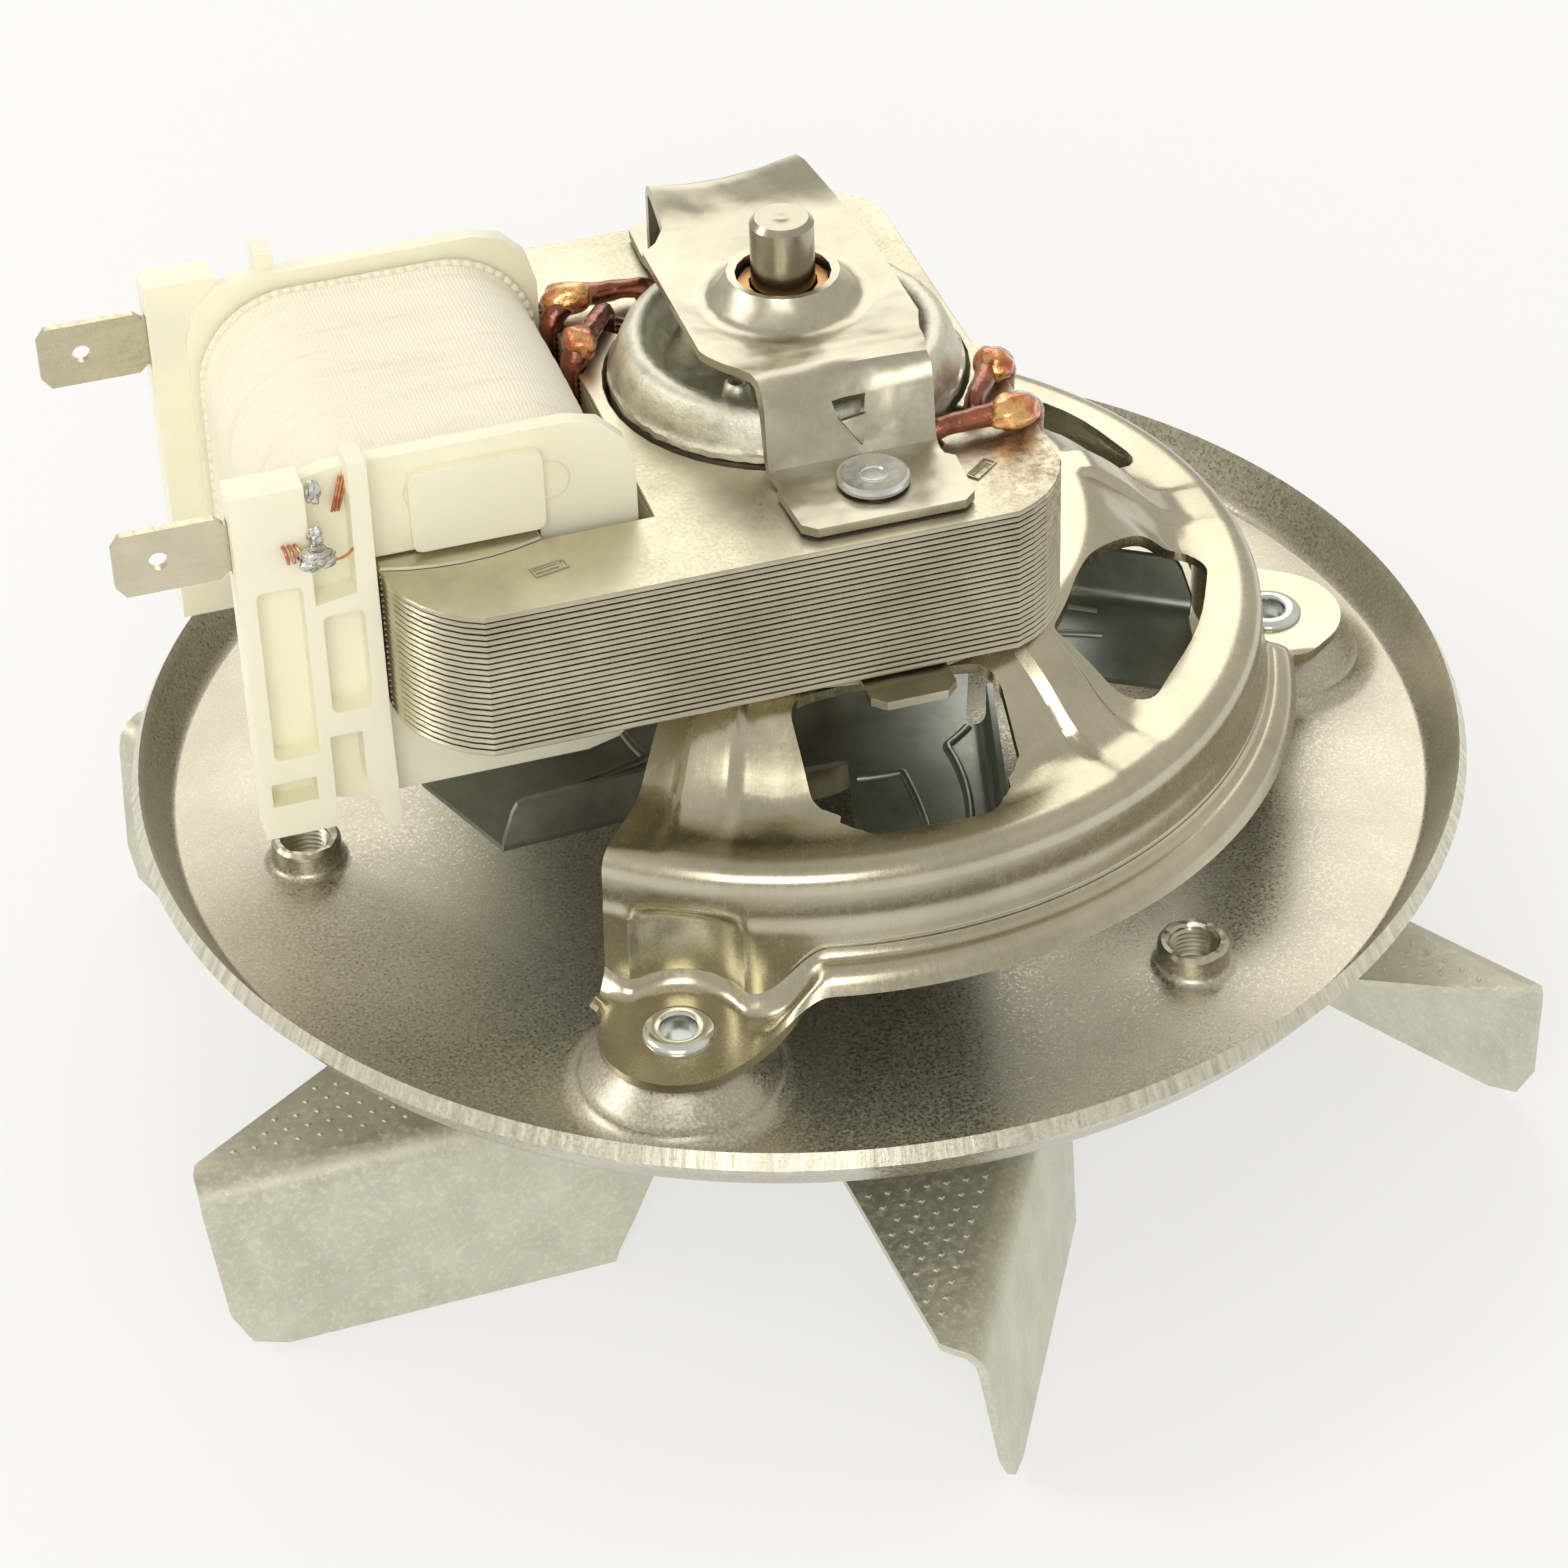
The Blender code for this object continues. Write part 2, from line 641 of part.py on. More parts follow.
def build_bell():
    rows = []
    for degrees in bell_angles():
        section = bell_section(degrees)
        rows.append([(*polar(r, degrees), z) for r, z in section])
    bell = merge_skins("bell_bracket", [rows_skin("bell_face", rows)])
    thicken(bell, BELL_SHEET)
    for window in WINDOWS:
        tool = prism("window", [window_outline(*window)], BELL_ROOF_HEIGHT - 6, BELL_TOP + 3)
        cut(bell, tool)
    for side, (x, y) in ((-1, FRONT_RIVET), (1, REAR_RIVET)):
        inner, outer = side * (abs(y) - BELL_LAND_IN), side * (BELL_TOP_BORE + 0.8)
        corner = BELL_LAND_CORNER
        land = [(x - BELL_LAND_HALF, outer * 0.97), (x - BELL_LAND_HALF + corner * 0.4, inner),
                (x + BELL_LAND_HALF - corner * 0.4, inner), (x + BELL_LAND_HALF, outer * 0.97),
                (x + BELL_LAND_HALF - corner, outer), (x - BELL_LAND_HALF + corner, outer)]
        tab = prism("land", [land], BELL_TOP - BELL_SHEET, BELL_TOP)
        join(bell, tab)
        cut(bell, rod("hole", RIVET_SHANK + GAP, BELL_TOP - 4, BELL_TOP + 2, (x, y), 16))
    for degrees in BOSS_ANGLES:
        place = polar(BOSS_CIRCLE, degrees)
        hole = EAR_RIVET_BORE + EAR_RIVET_WALL + GAP
        cut(bell, rod("hole", hole, EAR_TOP - 3, EAR_TOP + 2, place, 20))
    return finish(bell, BRIGHT_STEEL, 0.3, 1.0)


def build_ear_rivets():
    head_base = EAR_TOP + GAP
    top = head_base + EAR_RIVET_RISE
    shank = EAR_RIVET_BORE + EAR_RIVET_WALL
    tail = BOSS_HEIGHT - PLATE_SHEET - GAP
    profile = [
        (EAR_RIVET_HEAD - 0.55, top - 0.1), (EAR_RIVET_HEAD, head_base),
        (shank, head_base), (shank, tail), (shank + 1.0, tail), (EAR_RIVET_BORE, tail - 0.9),
        (EAR_RIVET_BORE, top - 0.35), (EAR_RIVET_BORE + 0.5, top),
    ]
    rivets = []
    for degrees, label in zip(BOSS_ANGLES, ("front", "right", "rear")):
        rivet = turned("ear_rivet_" + label, profile, 10)
        x, y = polar(BOSS_CIRCLE, degrees)
        rivet.location = (x * MM, y * MM, 0.0)
        rivets.append(finish(rivet, ZINC, 0.3, 1.0))
    return rivets


# Lamination stacks

def stack_outline():
    """Outer edge of the C-shaped sheet, from the front joint round to the rear joint."""
    half = STACK_HALF_WIDTH
    end = CORE_END
    joint = joint_arc(-1, GAP)
    front_left = arc_through((STACK_LEFT + 0.05, -end - 0.9 - GAP), (STACK_LEFT + 2.1, -26.0),
                             (STACK_LEFT + 7.0, -half), 6)
    front_right = arc_through((STACK_RIGHT - 6.4, -half), (STACK_RIGHT - 2.0, -27.0),
                              (STACK_RIGHT, -23.3), 5)
    rear_edge = STACK_RIGHT - STACK_STEP
    rear_right = arc_through((rear_edge, half - 6.5), (rear_edge - 0.8, half - 2.8),
                             (rear_edge - 3.3, half), 4)
    outline = joint[::-1] + front_left[1:] + front_right
    outline += [(STACK_RIGHT, -2.2), (rear_edge, -1.2)] + rear_right
    outline += [(x, -y) for x, y in front_left[:0:-1]]
    outline += [(x, -y) for x, y in joint]
    window = STACK_WINDOW_RIGHT
    outline += [(window, end + 0.2), (window, -end - 0.2)]
    return outline


def joint_arc(side, away):
    """Shallow arc where the coil core meets the legs, from left to right."""
    end = CORE_END + away
    middle = (STACK_LEFT + CORE_RIGHT) / 2
    return arc_through((STACK_LEFT + 0.1, side * end), (middle, side * (end + CORE_END_BULGE)),
                       (CORE_RIGHT, side * end), 6)


def ring_leg_places():
    """Slot side and open side of the two rear shading rings."""
    places = []
    for (degrees, radius), outer_y in zip(SHADE_SLOTS, SHADE_OUTER_LEGS):
        places.append((polar(radius, degrees), (STACK_WINDOW_RIGHT - GAP, outer_y)))
    return places


def build_stack():
    low, high = STACK_BASE, STACK_BASE + STACK_HEIGHT
    stack = prism("stator_core", [stack_outline()], low, high)
    cut(stack, rod("bore", STACK_BORE, low - 1, high + 1, segments=40))
    groove = SHADE_WIRE + GAP
    for inner, outer in ring_leg_places():
        for side in (1, -1):
            x, y = side * inner[0], side * inner[1]
            reach = math.hypot(x, y)
            slot = [(STACK_BORE - 2, -groove), (reach, -groove)]
            slot += [(reach + groove * math.sin(a * math.pi / 4),
                      -groove * math.cos(a * math.pi / 4)) for a in (1, 2, 3)]
            slot += [(reach, groove), (STACK_BORE - 2, groove)]
            tool = prism("slot", [slot], low - 1, high + 1)
            turn_about_z(tool, math.degrees(math.atan2(y, x)))
            cut(stack, tool)
            edge = outer[0] if side > 0 else STACK_RIGHT + GAP
            cut(stack, rod("groove", groove, low - 1, high + 1, (edge, side * outer[1]), 10))
    for x, y in (FRONT_RIVET, REAR_RIVET):
        cut(stack, rod("hole", RIVET_SHANK + GAP, low - 1, high + 1, (x, y), 16))
    for x, y, degrees in ((-29.6, -24.3, 12.0), (11.5, -22.3, 40.0),
                          (-29.6, 24.3, -12.0), (11.5, 22.3, -40.0)):
        mark = box("stake", (-STAKE_LENGTH / 2, -STAKE_WIDTH / 2, high - STAKE_DEPTH),
                   (STAKE_LENGTH / 2, STAKE_WIDTH / 2, high + 1))
        mark.data.transform(Matrix.Rotation(math.radians(degrees), 4, "Z"))
        mark.data.transform(Matrix.Translation((x * MM, y * MM, 0.0)))
        cut(stack, mark)
    return finish(stack, LAMINATION, 0.45, 1.0, 25.0)


def build_coil_core():
    front = joint_arc(-1, 0.0)
    rear = joint_arc(1, 0.0)
    core = prism("coil_core", [front + rear[::-1]], STACK_BASE, STACK_BASE + STACK_HEIGHT)
    return finish(core, LAMINATION, 0.45, 1.0)


# Rotor

def build_shaft(bottom):
    top = SHAFT_TOP
    r, c = SHAFT_RADIUS, SHAFT_CHAMFER
    profile = [(0.0, top), (r - c, top), (r, top - c), (r, bottom + c), (r - c, bottom),
               (0.0, bottom)]
    shaft = turned("shaft", profile, 24, closed=False)
    return finish(shaft, (0.55, 0.52, 0.47), 0.25, 1.0)


def bar_tools(radius, low, high):
    """One mesh of round bars on the rotor's bar circle."""
    bm = bmesh.new()
    for k in range(ROTOR_BARS):
        made = bmesh.ops.create_cone(bm, cap_ends=True, segments=6, radius1=radius * MM,
                                     radius2=radius * MM, depth=(high - low) * MM)
        x, y = polar(ROTOR_BAR_CIRCLE, 360.0 * k / ROTOR_BARS)
        bmesh.ops.translate(bm, vec=(x * MM, y * MM, (low + high) / 2 * MM), verts=made["verts"])
    mesh = bpy.data.meshes.new("bars")
    bm.to_mesh(mesh)
    bm.free()
    return add_object("bars", mesh)


def build_rotor():
    low, high = STACK_BASE, STACK_BASE + STACK_HEIGHT
    bore = SHAFT_RADIUS + GAP
    core = turned("rotor_core", [(ROTOR_RADIUS, high), (ROTOR_RADIUS, low), (bore, low),
                                 (bore, high)], 22)
    cut(core, bar_tools(ROTOR_BAR_RADIUS + GAP, low - 1, high + 1))
    finish(core, LAMINATION, 0.45, 1.0)

    face = high + GAP
    crest, dish = high + RING_RISE, high + RING_DISH_RISE
    upper = [
        (RING_BORE, dish), (RING_DISH_RADIUS - 0.8, dish), (RING_DISH_RADIUS + 0.6, crest - 0.5),
        (RING_CREST_RADIUS - 0.5, crest), (RING_CREST_RADIUS + 0.6, crest - 0.4),
        (ROTOR_RADIUS - 0.2, face + 1.0), (ROTOR_RADIUS + 0.1, face), (RING_BORE, face),
    ]
    cage = turned("rotor_cage", upper, 28)
    lower = [(ROTOR_RADIUS + 0.1, face), (RING_CREST_RADIUS + 0.6, crest), (RING_DISH_RADIUS, crest),
             (RING_DISH_RADIUS - 0.8, dish), (RING_BORE, dish), (RING_BORE, face)]
    lower = [(r, MIRROR_HEIGHT - z) for r, z in lower]
    join(cage, bar_tools(ROTOR_BAR_RADIUS, low - 1.0, high + 1.0))
    join(cage, turned("lower_ring", lower, 20))
    for k in range(4):
        place = polar(PIN_CIRCLE, 45.0 + 90.0 * k)
        join(cage, rod("pin", PIN_RADIUS, dish - 1.0, dish + 1.9, place, 10))
        cut(cage, rod("pin_hole", PIN_HOLE, dish + 0.4, dish + 3.0, place, 8))
    return [core, finish(cage, CAST_ALUMINIUM, 0.5, 1.0)]


# Bearing brackets

def strap_rows(rear_leg, crest, ear):
    """Upper surface of a bearing strap, front foot to rear foot: y, rise, left, right, crown.

    The crown says how much of the saddle shape a row takes: below zero towards the front
    leg, above zero towards the rear leg.
    """
    left, right, wide = STRAP_LEG_LEFT, STRAP_LEG_RIGHT, STRAP_PLATFORM_HALF
    front_leg, front_tip, rear_tip = STRAP_FRONT_LEG, STRAP_FRONT_TIP, STRAP_REAR_TIP
    rise = STRAP_RISE - STRAP_SHEET - GAP
    rows = []
    if ear:
        rows += [(-ear, 0.0, STRAP_EAR_LEFT - 1.2, STRAP_EAR_RIGHT - 1.2, 0),
                 (-ear + 1.2, 0.0, STRAP_EAR_LEFT, STRAP_EAR_RIGHT, 0),
                 (-front_tip - 0.6, 0.0, STRAP_EAR_LEFT, STRAP_EAR_RIGHT, 0)]
    rows += [
        (-front_tip, 0.0, left - 1.5, right - 0.6, 0),
        (-front_tip + 1.1, 0.0, left - 0.3, right + 0.6, 0),
        (-front_leg - 2.9, 0.0, left, right + 0.9, 0),
        (-front_leg - 2.2, 0.0, left - 0.6, right + 0.1, 0),
        (-front_leg - 1.3, 0.0, left - 0.4, right, 0),
        (-front_leg - 0.35, 0.35, left, right, 0),
        (-front_leg, 1.3, left, right, -0.15),
        (-front_leg + 0.5, rise - 2.2, left, right, -0.8),
        (-front_leg + 1.1, rise - 0.75, left, right, -1.0),
        (-front_leg + 2.3, rise - 0.05, left, right, -0.9),
        (-front_leg + 4.2, rise + 0.1, left + 0.1, right + 0.5, -0.5),
        (-front_leg + 6.0, rise, left + 0.7, right + 0.9, -0.15),
        (-HOUSING_RADIUS - 0.5, rise, left + 1.6, right + 1.0, 0),
        (-HOUSING_RADIUS + 1.3, rise, wide - 0.4, wide - 0.4, 0),
        (-HOUSING_RADIUS + 2.4, rise, wide, wide, 0),
        (HOUSING_RADIUS + 0.3, rise, wide, wide, 0),
        (HOUSING_RADIUS + 1.6, rise + 0.05, wide - 1.6, wide - 0.6, 0.1),
        (rear_leg - 6.6, rise + 0.25, left + 0.2, left + 2.2, 0.35),
        (rear_leg - 4.4, rise + crest * 0.45, left, left + 1.4, 0.75),
        (rear_leg - 2.6, rise + crest * 0.92, left, left + 0.5, 1.0),
        (rear_leg - 1.5, rise + crest, left, left, 1.0),
        (rear_leg - 0.5, rise + crest - 0.55, left, left, 0.9),
        (rear_leg - 0.1, rise + crest - 1.7, left, left, 0.7),
        (rear_leg, 1.3, left, left, 0),
        (rear_leg + 0.35, 0.35, left, left, 0),
        (rear_leg + 1.3, 0.0, left, left, 0),
        (rear_leg + 2.6, 0.0, left + 0.1, left + 0.6, 0),
        (rear_tip - 1.0, 0.0, left - 0.1, left + 0.4, 0),
        (rear_tip, 0.0, left - 1.2, left - 0.8, 0),
    ]
    return rows


def strap_row(row, base, columns, saddle):
    """One row of the strap's upper surface, left to right, with its share of the saddle."""
    y, rise, left, right, crown = row
    points = []
    for k in range(columns + 1):
        across = 2.0 * k / columns - 1.0
        lift = push = 0.0
        if crown > 0:
            lift = crown * saddle * (0.87 * across ** 2 + 0.27 * across - 0.6)
        elif crown < 0:
            lift = -crown * saddle * 0.8 * across ** 2
            push = -crown * saddle / STRAP_SADDLE * STRAP_TROUGH * (1.0 - across ** 2)
        # A row next to the flat platform bows a little, so its points aren't in line
        bow = 0.25 * (1.0 - across ** 2) if crown == 0 and rise > 1.3 else 0.0
        x = -left + (left + right) * k / columns
        points.append((x, y + push + math.copysign(bow, y), base + rise + lift))
    return points


def housing_face():
    """Upper face of the bearing seat, mouth to platform: rolled mouth, cone and moat."""
    rise = STRAP_RISE - STRAP_SHEET - GAP
    return [(HOUSING_BORE, rise + HOUSING_RISE - 0.15), (HOUSING_BORE + 0.8, rise + HOUSING_RISE),
            (HOUSING_CONE - 0.2, rise - HOUSING_MOAT + 0.4),
            (HOUSING_CONE + 0.5, rise - HOUSING_MOAT), (HOUSING_RADIUS - 1.7, rise - HOUSING_MOAT),
            (HOUSING_RADIUS, rise)]


def build_strap(name, rear_leg, crest, ear, saddle, slot, steps):
    """The upper strap; the lower one is the same thing turned over."""
    base = STRAP_FOOT_TOP
    level = base + STRAP_RISE - STRAP_SHEET - GAP
    columns = STRAP_COLUMNS if saddle else 1
    fore, aft, left_side, right_side = [], [], [], []
    for row in strap_rows(rear_leg, crest, ear):
        y, left, right = row[0], row[2], row[3]
        if abs(y) > HOUSING_RADIUS:
            (fore if y < 0 else aft).append(strap_row(row, base, columns, saddle))
        else:
            left_side.append((-left, y))
            right_side.append((right, y))
    seat = circle(HOUSING_RADIUS, steps)
    border = [(x, y) for x, y, z in fore[-1]] + right_side
    border += [(x, y) for x, y, z in aft[0][::-1]] + left_side[::-1]
    skins = [rows_skin("fore", fore), rows_skin("aft", aft),
             flat_skin("platform", [border, seat], level),
             turned("housing", [(r, base + z) for r, z in housing_face()], steps, closed=False)]
    strap = merge_skins(name, skins)
    thicken(strap, STRAP_SHEET)
    for x, y in (FRONT_RIVET, REAR_RIVET):
        cut(strap, rod("hole", RIVET_SHANK + GAP, base - 4, base + 3, (x, y), 12))
    if slot:
        outline = [(-0.7, base + 5.2), (-0.3, base + 3.6), (1.6, base + 1.0), (2.5, base + 5.4)]
        cut(strap, prism("slot", [outline], -STRAP_FRONT_LEG - 3, -STRAP_FRONT_LEG + 4,
                         axis="Y"))
    return strap


def turn_over(obj):
    """Mirror a piece about the middle of the lamination stack."""
    bm = bmesh.new()
    bm.from_mesh(obj.data)
    for vert in bm.verts:
        vert.co.z = MIRROR_HEIGHT * MM - vert.co.z
    bmesh.ops.reverse_faces(bm, faces=bm.faces)
    bm.to_mesh(obj.data)
    bm.free()
    return obj


def bush_height():
    """Middle of the upper bush: its shoulder sits just under the housing's cone."""
    level = STRAP_FOOT_TOP + STRAP_RISE - STRAP_SHEET - GAP
    return level + HOUSING_RISE - 0.9 - GAP - BUSH_HALF_HEIGHT


def build_bush(name):
    middle = bush_height()
    bore = SHAFT_RADIUS + RUNNING_GAP
    profile = []
    limit = math.asin(BUSH_HALF_HEIGHT / BUSH_RADIUS)
    steps = 4
    for k in range(steps + 1):
        angle = limit - 2 * limit * k / steps
        profile.append((BUSH_RADIUS * math.cos(angle), middle + BUSH_RADIUS * math.sin(angle)))
    profile += [(bore, middle - BUSH_HALF_HEIGHT), (bore, middle + BUSH_HALF_HEIGHT)]
    return turned(name, profile, 14)


def build_retainer(name):
    """Sprung keeper under the bush, against the underside of the moat."""
    level = STRAP_FOOT_TOP + STRAP_RISE - STRAP_SHEET - GAP
    top = level - HOUSING_MOAT - STRAP_SHEET - GAP
    sheet = RETAINER_SHEET
    low = bush_height() - BUSH_HALF_HEIGHT * 0.45
    inner = BUSH_RADIUS + GAP * 0.5
    profile = [(HOUSING_RADIUS - 2.0, top), (HOUSING_RADIUS - 2.0, top - sheet),
               (inner + 1.0, top - sheet), (inner + 0.6, low), (inner, low),
               (inner + 0.2, top)]
    return turned(name, profile, 12)


def build_bearings():
    upper = build_strap("top_bearing_bracket", STRAP_REAR_LEG, STRAP_CREST_RISE, 0.0,
                        STRAP_SADDLE, True, 20)
    lower = build_strap("bottom_bearing_bracket", STRAP_FRONT_LEG, 0.1, STRAP_EAR_TIP, 0.0,
                        False, 12)
    turn_over(lower)
    for strap in (upper, lower):
        finish(strap, ZINC, 0.3, 1.0)
    bushes = [build_bush("top_bearing"), turn_over(build_bush("bottom_bearing"))]
    for bush in bushes:
        finish(bush, BRONZE, 0.4, 1.0)
    keepers = [build_retainer("top_bearing_retainer"),
               turn_over(build_retainer("bottom_bearing_retainer"))]
    for keeper in keepers:
        finish(keeper, GREY_STEEL, 0.35, 1.0)

    top = STRAP_FOOT_TOP + GAP
    tail = BELL_TOP - BELL_SHEET - GAP
    profile = [(0.0, top + RIVET_HEAD_RISE), (RIVET_HEAD - 0.5, top + RIVET_HEAD_RISE),
               (RIVET_HEAD, top + RIVET_HEAD_RISE - 0.35), (RIVET_HEAD - 0.1, top),
               (RIVET_SHANK, top), (RIVET_SHANK, tail),
               (RIVET_SHANK + 0.9, tail), (RIVET_SHANK + 0.6, tail - 0.9), (0.0, tail - 1.0)]
    rivets = []
    for (x, y), label in ((FRONT_RIVET, "front"), (REAR_RIVET, "rear")):
        rivet = turned("stator_rivet_" + label, profile, 12, closed=False)
        rivet.location = (x * MM, y * MM, 0.0)
        rivets.append(finish(rivet, ZINC, 0.25, 1.0))
    return [upper, lower] + bushes + keepers + rivets


# Shading rings: closed turns of thick wire through a slot and over the open side

def ring_path(inner, outer, head):
    high = STACK_BASE + STACK_HEIGHT + SHADE_WIRE + SHADE_LIFT
    low = MIRROR_HEIGHT - high
    ix, iy = inner
    ox, oy = outer
    hx, hy = head
    soft = 1.2
    path = [(ix, iy, low + soft), (ix, iy, high - soft), (ix + (hx - ix) * 0.12,
            iy + (hy - iy) * 0.12, high - 0.3), (ix + (hx - ix) * 0.3, iy + (hy - iy) * 0.3, high)]
    path += [(hx, hy, high + 0.1), ((hx + ox) / 2 - 0.1, (hy + oy) / 2, high - 0.35),
             (ox, oy, high - 1.6), (ox, oy, low + 1.6), ((hx + ox) / 2, (hy + oy) / 2, low + 0.35)]
    path += [(hx, hy, low), (ix + (hx - ix) * 0.3, iy + (hy - iy) * 0.3, low)]
    return path


def build_shading_rings():
    rings = []
    places = zip(ring_leg_places(), SHADE_HEADS, ("outer", "inner"))
    for (inner, outer), head, label in places:
        rear = wire("shading_ring_rear_" + label, ring_path(inner, outer, head), SHADE_WIRE)
        outer_front = (STACK_RIGHT + GAP, -outer[1])
        front_path = ring_path((-inner[0], -inner[1]), outer_front, (-head[0], -head[1]))
        front = wire("shading_ring_front_" + label, front_path, SHADE_WIRE)
        rings += [finish(rear, COPPER, 0.35, 1.0, 50.0), finish(front, COPPER, 0.35, 1.0, 50.0)]
    return rings


# Bobbin, coil and terminals

COIL_CENTRE = ((STACK_LEFT + CORE_RIGHT) / 2, STACK_BASE + STACK_HEIGHT / 2)


def rectangle(left, right, low, high):
    return [(left, low), (right, low), (right, high), (left, high)]


def tube_half():
    """Half sizes of the hole in the bobbin's tube."""
    return ((CORE_RIGHT - STACK_LEFT) / 2 + GAP, STACK_HEIGHT / 2 + GAP)


def build_bobbin():
    cx, cz = COIL_CENTRE
    hx, hz = tube_half()
    wall = BOBBIN_WALL
    hole = rectangle(cx - hx, cx + hx, cz - hz, cz + hz)
    tube = rectangle(cx - hx - wall, cx + hx + wall, cz - hz - wall, cz + hz + wall)
    reach = FLANGE_INNER + FLANGE_SHEET
    bobbin = prism("bobbin", [tube], -reach + 0.3, reach - 0.3, axis="Y")
    flange = rounded(rectangle(cx - FLANGE_WIDTH / 2, cx + FLANGE_WIDTH / 2,
                               cz - FLANGE_HEIGHT / 2, cz + FLANGE_HEIGHT / 2), FLANGE_CORNER, 3)
    for side in (-1, 1):
        low, high = sorted((side * FLANGE_INNER, side * reach))
        join(bobbin, prism("flange", [flange], low, high, axis="Y"))

        # Pad over the core on the flange's outer face
        low, high = sorted((side * (reach - 0.2), side * (reach + FLANGE_PAD)))
        pad_low = cz + hz + 0.2
        pad = rounded(rectangle(cx - 4.0, cx + 8.2, pad_low, pad_low + 8.2), 0.8, 2)
        join(bobbin, prism("pad", [pad], low, high, axis="Y"))

        low, high = sorted((side * BLOCK_INNER, side * BLOCK_OUTER))
        split = BLOCK_LEFT + BLOCK_COLUMN
        notch = 29.0
        block = [(BLOCK_LEFT, BLOCK_BASE), (split, BLOCK_BASE), (split, notch),
                 (split + BLOCK_FORK, notch), (split + BLOCK_FORK, BLOCK_BASE + 4.5),
                 (split + BLOCK_FORK + 1.6, BLOCK_BASE - 1.6), (split + BLOCK_FORK + 2.9,
                 BLOCK_BASE - 1.2), (BLOCK_RIGHT, notch + 1.0), (BLOCK_RIGHT, BLOCK_TOP + 1.2),
                 (BLOCK_RIGHT - 1.7, BLOCK_TOP + 1.5), (BLOCK_RIGHT - 1.9, 44.0),
                 (split, 43.4), (split, BLOCK_TOP), (BLOCK_LEFT, BLOCK_TOP)]
        join(bobbin, prism("block", [block], low, high, axis="Y"))
        inner, outer = side * (BLOCK_INNER + 1.2), side * (BLOCK_OUTER + 1)
        low, high = sorted((inner, outer))
        pocket = rounded(rectangle(BLOCK_LEFT + 1.5, split - 1.0, 27.5, 45.8), 0.6, 2)
        cut(bobbin, prism("pocket", [pocket], low, high, axis="Y"))
        second = rounded(rectangle(split + 0.5, BLOCK_RIGHT - 1.4, 31.5, 42.1), 0.6, 2)
        cut(bobbin, prism("pocket", [second], low, high, axis="Y"))
        lower = rectangle(BLOCK_LEFT + 0.9, split - 1.6, 22.5, 25.0)
        cut(bobbin, prism("pocket", [lower], low, high, axis="Y"))

        # Slot for the tab's root
        low, high = sorted((side * (TAB_PLANE - TAB_SHEET / 2 - GAP),
                            side * (TAB_PLANE + TAB_SHEET / 2 + GAP)))
        half = TAB_WIDTH / 2 - 0.7 + GAP
        cut(bobbin, box("root", (BLOCK_LEFT - 1, low, TAB_HEIGHT - half),
                        (TAB_ROOT + GAP, high, TAB_HEIGHT + half)))
    end = BLOCK_OUTER + 2
    cut(bobbin, prism("tunnel", [hole], -end, end, axis="Y"))
    return finish(bobbin, CREAM, 0.5, 0.0)


def build_winding():
    cx, cz = COIL_CENTRE
    hx, hz = tube_half()
    inner_x, inner_z = hx + BOBBIN_WALL + GAP, hz + BOBBIN_WALL + GAP
    half_x, half_z = FLANGE_WIDTH / 2 - 0.9, FLANGE_HEIGHT / 2 - 1.6
    limit = FLANGE_INNER - GAP
    bm = bmesh.new()
    rings = []
    stations = 5
    for k in range(stations):
        y = -limit + 2 * limit * k / (stations - 1)
        swell = WINDING_BULGE * math.cos(math.pi / 2 * y / limit)
        outline = rounded(rectangle(cx - half_x - swell, cx + half_x + swell,
                                    cz - half_z - swell, cz + half_z + swell),
                          WINDING_CORNER, 5)
        rings.append([bm.verts.new((x * MM, y * MM, z * MM)) for x, z in outline])
    for a, b in zip(rings, rings[1:]):
        for i in range(len(a)):
            j = (i + 1) % len(a)
            bm.faces.new((a[i], a[j], b[j], b[i]))
    bm.faces.new(rings[0][::-1])
    bm.faces.new(rings[-1])
    bmesh.ops.recalc_face_normals(bm, faces=bm.faces)
    mesh = bpy.data.meshes.new("coil_winding")
    bm.to_mesh(mesh)
    bm.free()
    winding = add_object("coil_winding", mesh)
    cut(winding, box("tunnel", (cx - inner_x, -limit - 1, cz - inner_z),
                     (cx + inner_x, limit + 1, cz + inner_z)))
    return finish(winding, TAPE, 0.8, 0.0)


def build_tabs():
    tabs = []
    half = TAB_WIDTH / 2
    shoulder = BLOCK_LEFT - 0.3
    low, high = TAB_HEIGHT - half, TAB_HEIGHT + half
    outline = [(TAB_ROOT, low + 0.7), (TAB_ROOT, high - 0.7), (shoulder, high - 0.7),
               (shoulder - 0.8, high), (TAB_TIP + 0.9, high), (TAB_TIP, high - 1.2),
               (TAB_TIP, low + 1.2), (TAB_TIP + 0.9, low), (shoulder - 0.8, low),
               (shoulder, low + 0.7)]
    hole = circle(TAB_HOLE, 12, (TAB_TIP + 4.0, TAB_HEIGHT))
    for side, label in ((-1, "front"), (1, "rear")):
        plane = side * TAB_PLANE
        tab = prism("terminal_" + label, [outline, hole], plane - TAB_SHEET / 2,
                    plane + TAB_SHEET / 2, axis="Y")
        tabs.append(finish(tab, (0.62, 0.60, 0.54), 0.4, 1.0))
    return tabs


# Fans: one flat blank each, with blades folded out of it along straight lines

